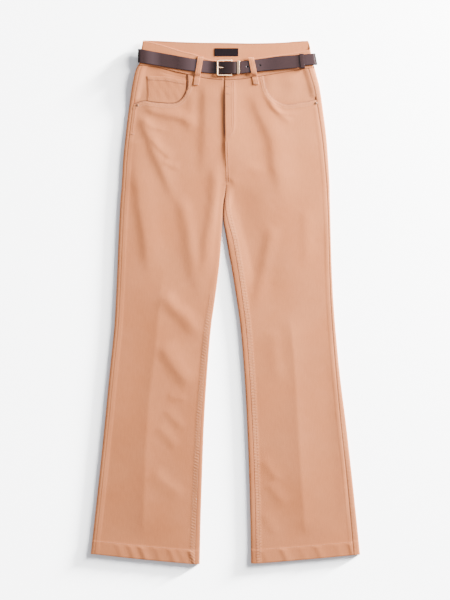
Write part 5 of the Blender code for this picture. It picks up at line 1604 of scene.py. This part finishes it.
LABEL_X, LABEL_DROP, LABEL_THICKNESS = (-22.0, 28.0), (14.7, 31.5), 0.7
label_finish = cloth_finish("dark_woven_label", (0.012, 0.0083, 0.0098), (0.016, 0.011, 0.013),
                            (0.001, 0.001, 0.0015), pitch=0.0004, sheen=0.0)
label_z = WAIST_LIFT + WAISTBAND + SEAM_GAP + LABEL_THICKNESS / 2
tag = Strip([((x, -LABEL_DROP[0], label_z), (x, -LABEL_DROP[1], label_z), (0, 0, 1),
              LABEL_THICKNESS) for x in np.linspace(*LABEL_X, 6)]).refine(2.0)
label = tag.build("woven_label", label_finish, 8)
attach(label, "root")
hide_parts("label")

# ================================================================ the sewing
# Thick cotton thread a shade lighter than the cloth.  Each stitch is its own short
# thread: Geometry Nodes turn every two-point edge into a tapered one.

THREAD, STITCH_PITCH, STITCH_SHARE = 0.34, 3.25, 0.77     # a stitch's share of its pitch
SEWN_ABOVE, TACKED_ABOVE = 0.12, 0.2   # the threads' middles above the cloth

sewing, start, end = new_group(
    "stitches", (("Geometry", "Geometry", None), ("Thread", "Float", 0.0003),
                 ("Arch", "Float", 0.0002), ("Finish", "Material", None)),
    (("Geometry", "Geometry"),), "GeometryNodeTree")
line = add(sewing, "GeometryNodeMeshToCurve", {"Mesh": start.outputs["Geometry"]})
beads = add(sewing, "GeometryNodeResampleCurve", {"Curve": line.outputs[0], "Count": 6})
part = add(sewing, "GeometryNodeSplineParameter").outputs["Factor"]
swell = reckon(sewing, "SINE", reckon(sewing, "MULTIPLY", part, math.pi))
arch = reckon(sewing, "MULTIPLY", swell, start.outputs["Arch"])
rise = add(sewing, "ShaderNodeCombineXYZ", {"Z": arch})
bent = add(sewing, "GeometryNodeSetPosition", {"Geometry": beads.outputs[0],
                                               "Offset": rise.outputs[0]})
taper = reckon(sewing, "MULTIPLY_ADD", swell, 0.65, 0.35)
profile = add(sewing, "GeometryNodeCurvePrimitiveCircle", {"Resolution": 6,
                                                           "Radius": start.outputs["Thread"]})
thread = add(sewing, "GeometryNodeCurveToMesh",
             {"Curve": bent.outputs[0], "Profile Curve": profile.outputs[0], "Scale": taper,
              "Fill Caps": True})
real = add(sewing, "GeometryNodeRealizeInstances", {"Geometry": thread.outputs[0]})
dressed = add(sewing, "GeometryNodeSetMaterial", {"Geometry": real.outputs[0],
                                                  "Material": start.outputs["Finish"]})
feed(sewing, end, {0: dressed.outputs[0]})

thread_finish, tree, shader = new_material("cotton_thread")
place = add(tree, "ShaderNodeTexCoord").outputs["Object"]
lint = add(tree, "ShaderNodeTexNoise", {"Vector": place, "Scale": 700.0, "Detail": 2.0})
paint = blend(tree, lint.outputs["Fac"], (0.48, 0.17, 0.07, 1), (0.55, 0.22, 0.105, 1))
feed(tree, shader, {"Base Color": paint, "Roughness": 0.7, "Sheen Weight": 0.15})


def stitches_along(line, pitch=STITCH_PITCH):
    """Pairs of end points of the stitches along a line of 3-D points."""
    along = along_line(line)
    starts = np.arange(0.3, along[-1] - pitch, pitch)
    ends = [np.stack([np.interp(at, along, line[:, k]) for k in range(3)], -1)
            for at in (starts, starts + pitch * STITCH_SHARE)]
    return list(zip(*ends))


def tack(centre, direction, length, reach, height):
    """A bar tack: close zigzag stitches across a short line, on a height function."""
    direction = np.array(direction, float) / np.hypot(*direction)
    across = np.array([-direction[1], direction[0]])
    pairs, count = [], max(3, round(length / 0.7))
    for k in range(count):
        at = np.array(centre) + direction * length * (k / (count - 1) - 0.5)
        ends = [at - across * reach, at + across * reach + direction * 0.35]
        pairs.append([np.array([e[0], -e[1], float(height(e[0], e[1]))]) for e in ends])
    return pairs


def sew(name, pairs, thread=THREAD):
    """Turn pairs of end points into stitches, one mesh for a piece."""
    points = in_place(np.concatenate([np.stack(p) for p in pairs]))
    item = mesh_object(name, points, [], [(k, k + 1) for k in range(0, len(points), 2)])
    nodes = item.modifiers.new("sewing", "NODES")
    nodes.node_group = sewing
    sockets = {s.name: s.identifier for s in sewing.interface.items_tree
               if s.in_out == "INPUT"}
    nodes[sockets["Thread"]] = thread * MM
    nodes[sockets["Arch"]] = 0.25 * thread * MM
    nodes[sockets["Finish"]] = thread_finish
    apply_modifiers(item)
    smooth_faces(item.data)
    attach(item, "root")


def on_front(side, x, drop):
    """A line of stitching laid on a front panel's face."""
    return np.stack([x, -drop, front_face(side, x, drop) + SEWN_ABOVE], -1)


HEM_LINE = (1045.0, 1070.0)            # roughly its drop at the side seam and the inseam
INSEAM_END, SIDE_STITCHES = 1086.0, (138.0, 193.0)
FLY_TACKS, FORK_STITCHES = (95.0, 110.0), (1.8, 6.6)

for side, name in ((-1, "right_front_stitching"), (1, "left_front_stitching")):
    def height(x, drop):
        return front_face(side, np.array([x]), np.array([drop]))[0] + TACKED_ABOVE

    # the felled inseam
    pairs = []
    drop = np.arange(FORK_DROP + 8, INSEAM_END, 2.0)
    for reach in INSEAM_STITCHES:
        x = side * (inseam_at(side, drop) + reach)
        keep = (hem_drop(side, x, drop) - drop > 2) & (drop > FELL_FROM[side] + 30)
        pairs += stitches_along(on_front(side, x[keep], drop[keep]))
    # the hem, whose line is found in a few steps
    u = np.linspace(0, 1, 120)
    x = side * mix(side_seam(side, HEM_LINE[0]) - 1.5, inseam_at(side, HEM_LINE[1]) + 1.5, u)
    drop = mix(*HEM_LINE, u)
    for _ in range(4):
        drop = hem_drop(side, x, drop) - HEM_BAND + 0.8
    pairs += stitches_along(on_front(side, x, drop))
    for reach in POCKET_STITCHES:
        pairs += stitches_along(on_front(side, *pocket_stitching(side, reach).T))
    if side < 0:
        # below the right pocket the side seam is stitched down and tacked
        drop = np.arange(*SIDE_STITCHES, 2.0)
        x = side * (side_seam(side, drop) - 6.5)
        pairs += stitches_along(on_front(side, x, drop))
        pairs += tack((x[-1], SIDE_STITCHES[1] + 2), (1, 0), 5.0, 1.0, height)
    else:
        # the fly, its tacks, and the seam between it and the fork
        for reach in FLY_STITCHES:
            pairs += stitches_along(on_front(side, *fly_stitching(reach).T))
        drop = np.arange(FLY_END + 4, FORK_DROP - 4, 2.0)
        for reach in FORK_STITCHES:
            x = curve_at(CENTRE_FRONT, drop) + reach
            pairs += stitches_along(on_front(side, x, drop))
        for drop in FLY_TACKS:
            pairs += tack((curve_at(CENTRE_FRONT, drop) + 8, drop), (1, 0.15), 7.0, 0.8, height)
    sew(name, pairs)

# the waistband: both edges of the two front runs, and the top of the back run's inner face
pairs = []
for reach in (BAND_STITCH, -BAND_STITCH):
    for half in (slice(0, FRONT_STATIONS - 1), slice(1 - FRONT_STATIONS, None)):
        pairs += stitches_along(band.on_face(reach, half))
to_back = FRONT_STATIONS + TURN_STATIONS + 3
pairs += stitches_along(band.on_face(BAND_STITCH, slice(to_back, -to_back), face=-1))
sew("waistband_stitching", pairs)

# the front loops: both edges, and a tack at each end
pairs = []
for side, node in ((-1, "loop_front_right"), (1, "loop_front_left")):
    strip = loops[node]
    for reach in (LOOP_STITCH, -LOOP_STITCH):
        pairs += stitches_along(strip.on_face(reach, slice(6, -6)), 2.6)
    for end in (2.5, strip.along[-1] - 2.5):
        middle = [np.interp(end, strip.along, strip.middle[:, k]) for k in range(3)]
        top = middle[2] + LOOP / 2 + 0.25
        pairs += tack((middle[0], -middle[1]), (1, 0), LOOP_WIDTH - 2.5, 1.1,
                      lambda x, drop: top)
sew("loop_stitching", pairs, 0.3)

# the coin pocket: its hem and its side
x = np.linspace(COIN_X[0] + 2, COIN_X[1] - 3, 60)
drop = curve_at(COIN_TOP, x) + COIN_HEM - 1.2
pairs = stitches_along(np.stack([x, -drop, coin_height(x, drop) + 0.1], -1))
drop = np.arange(76.0, 121.0, 2.0)
x = COIN_X[0] + 3.0 + 0.04 * (drop - drop[0])
pairs += stitches_along(np.stack([x, -drop, coin_height(x, drop) + 0.1], -1))
sew("coin_pocket_stitching", pairs)
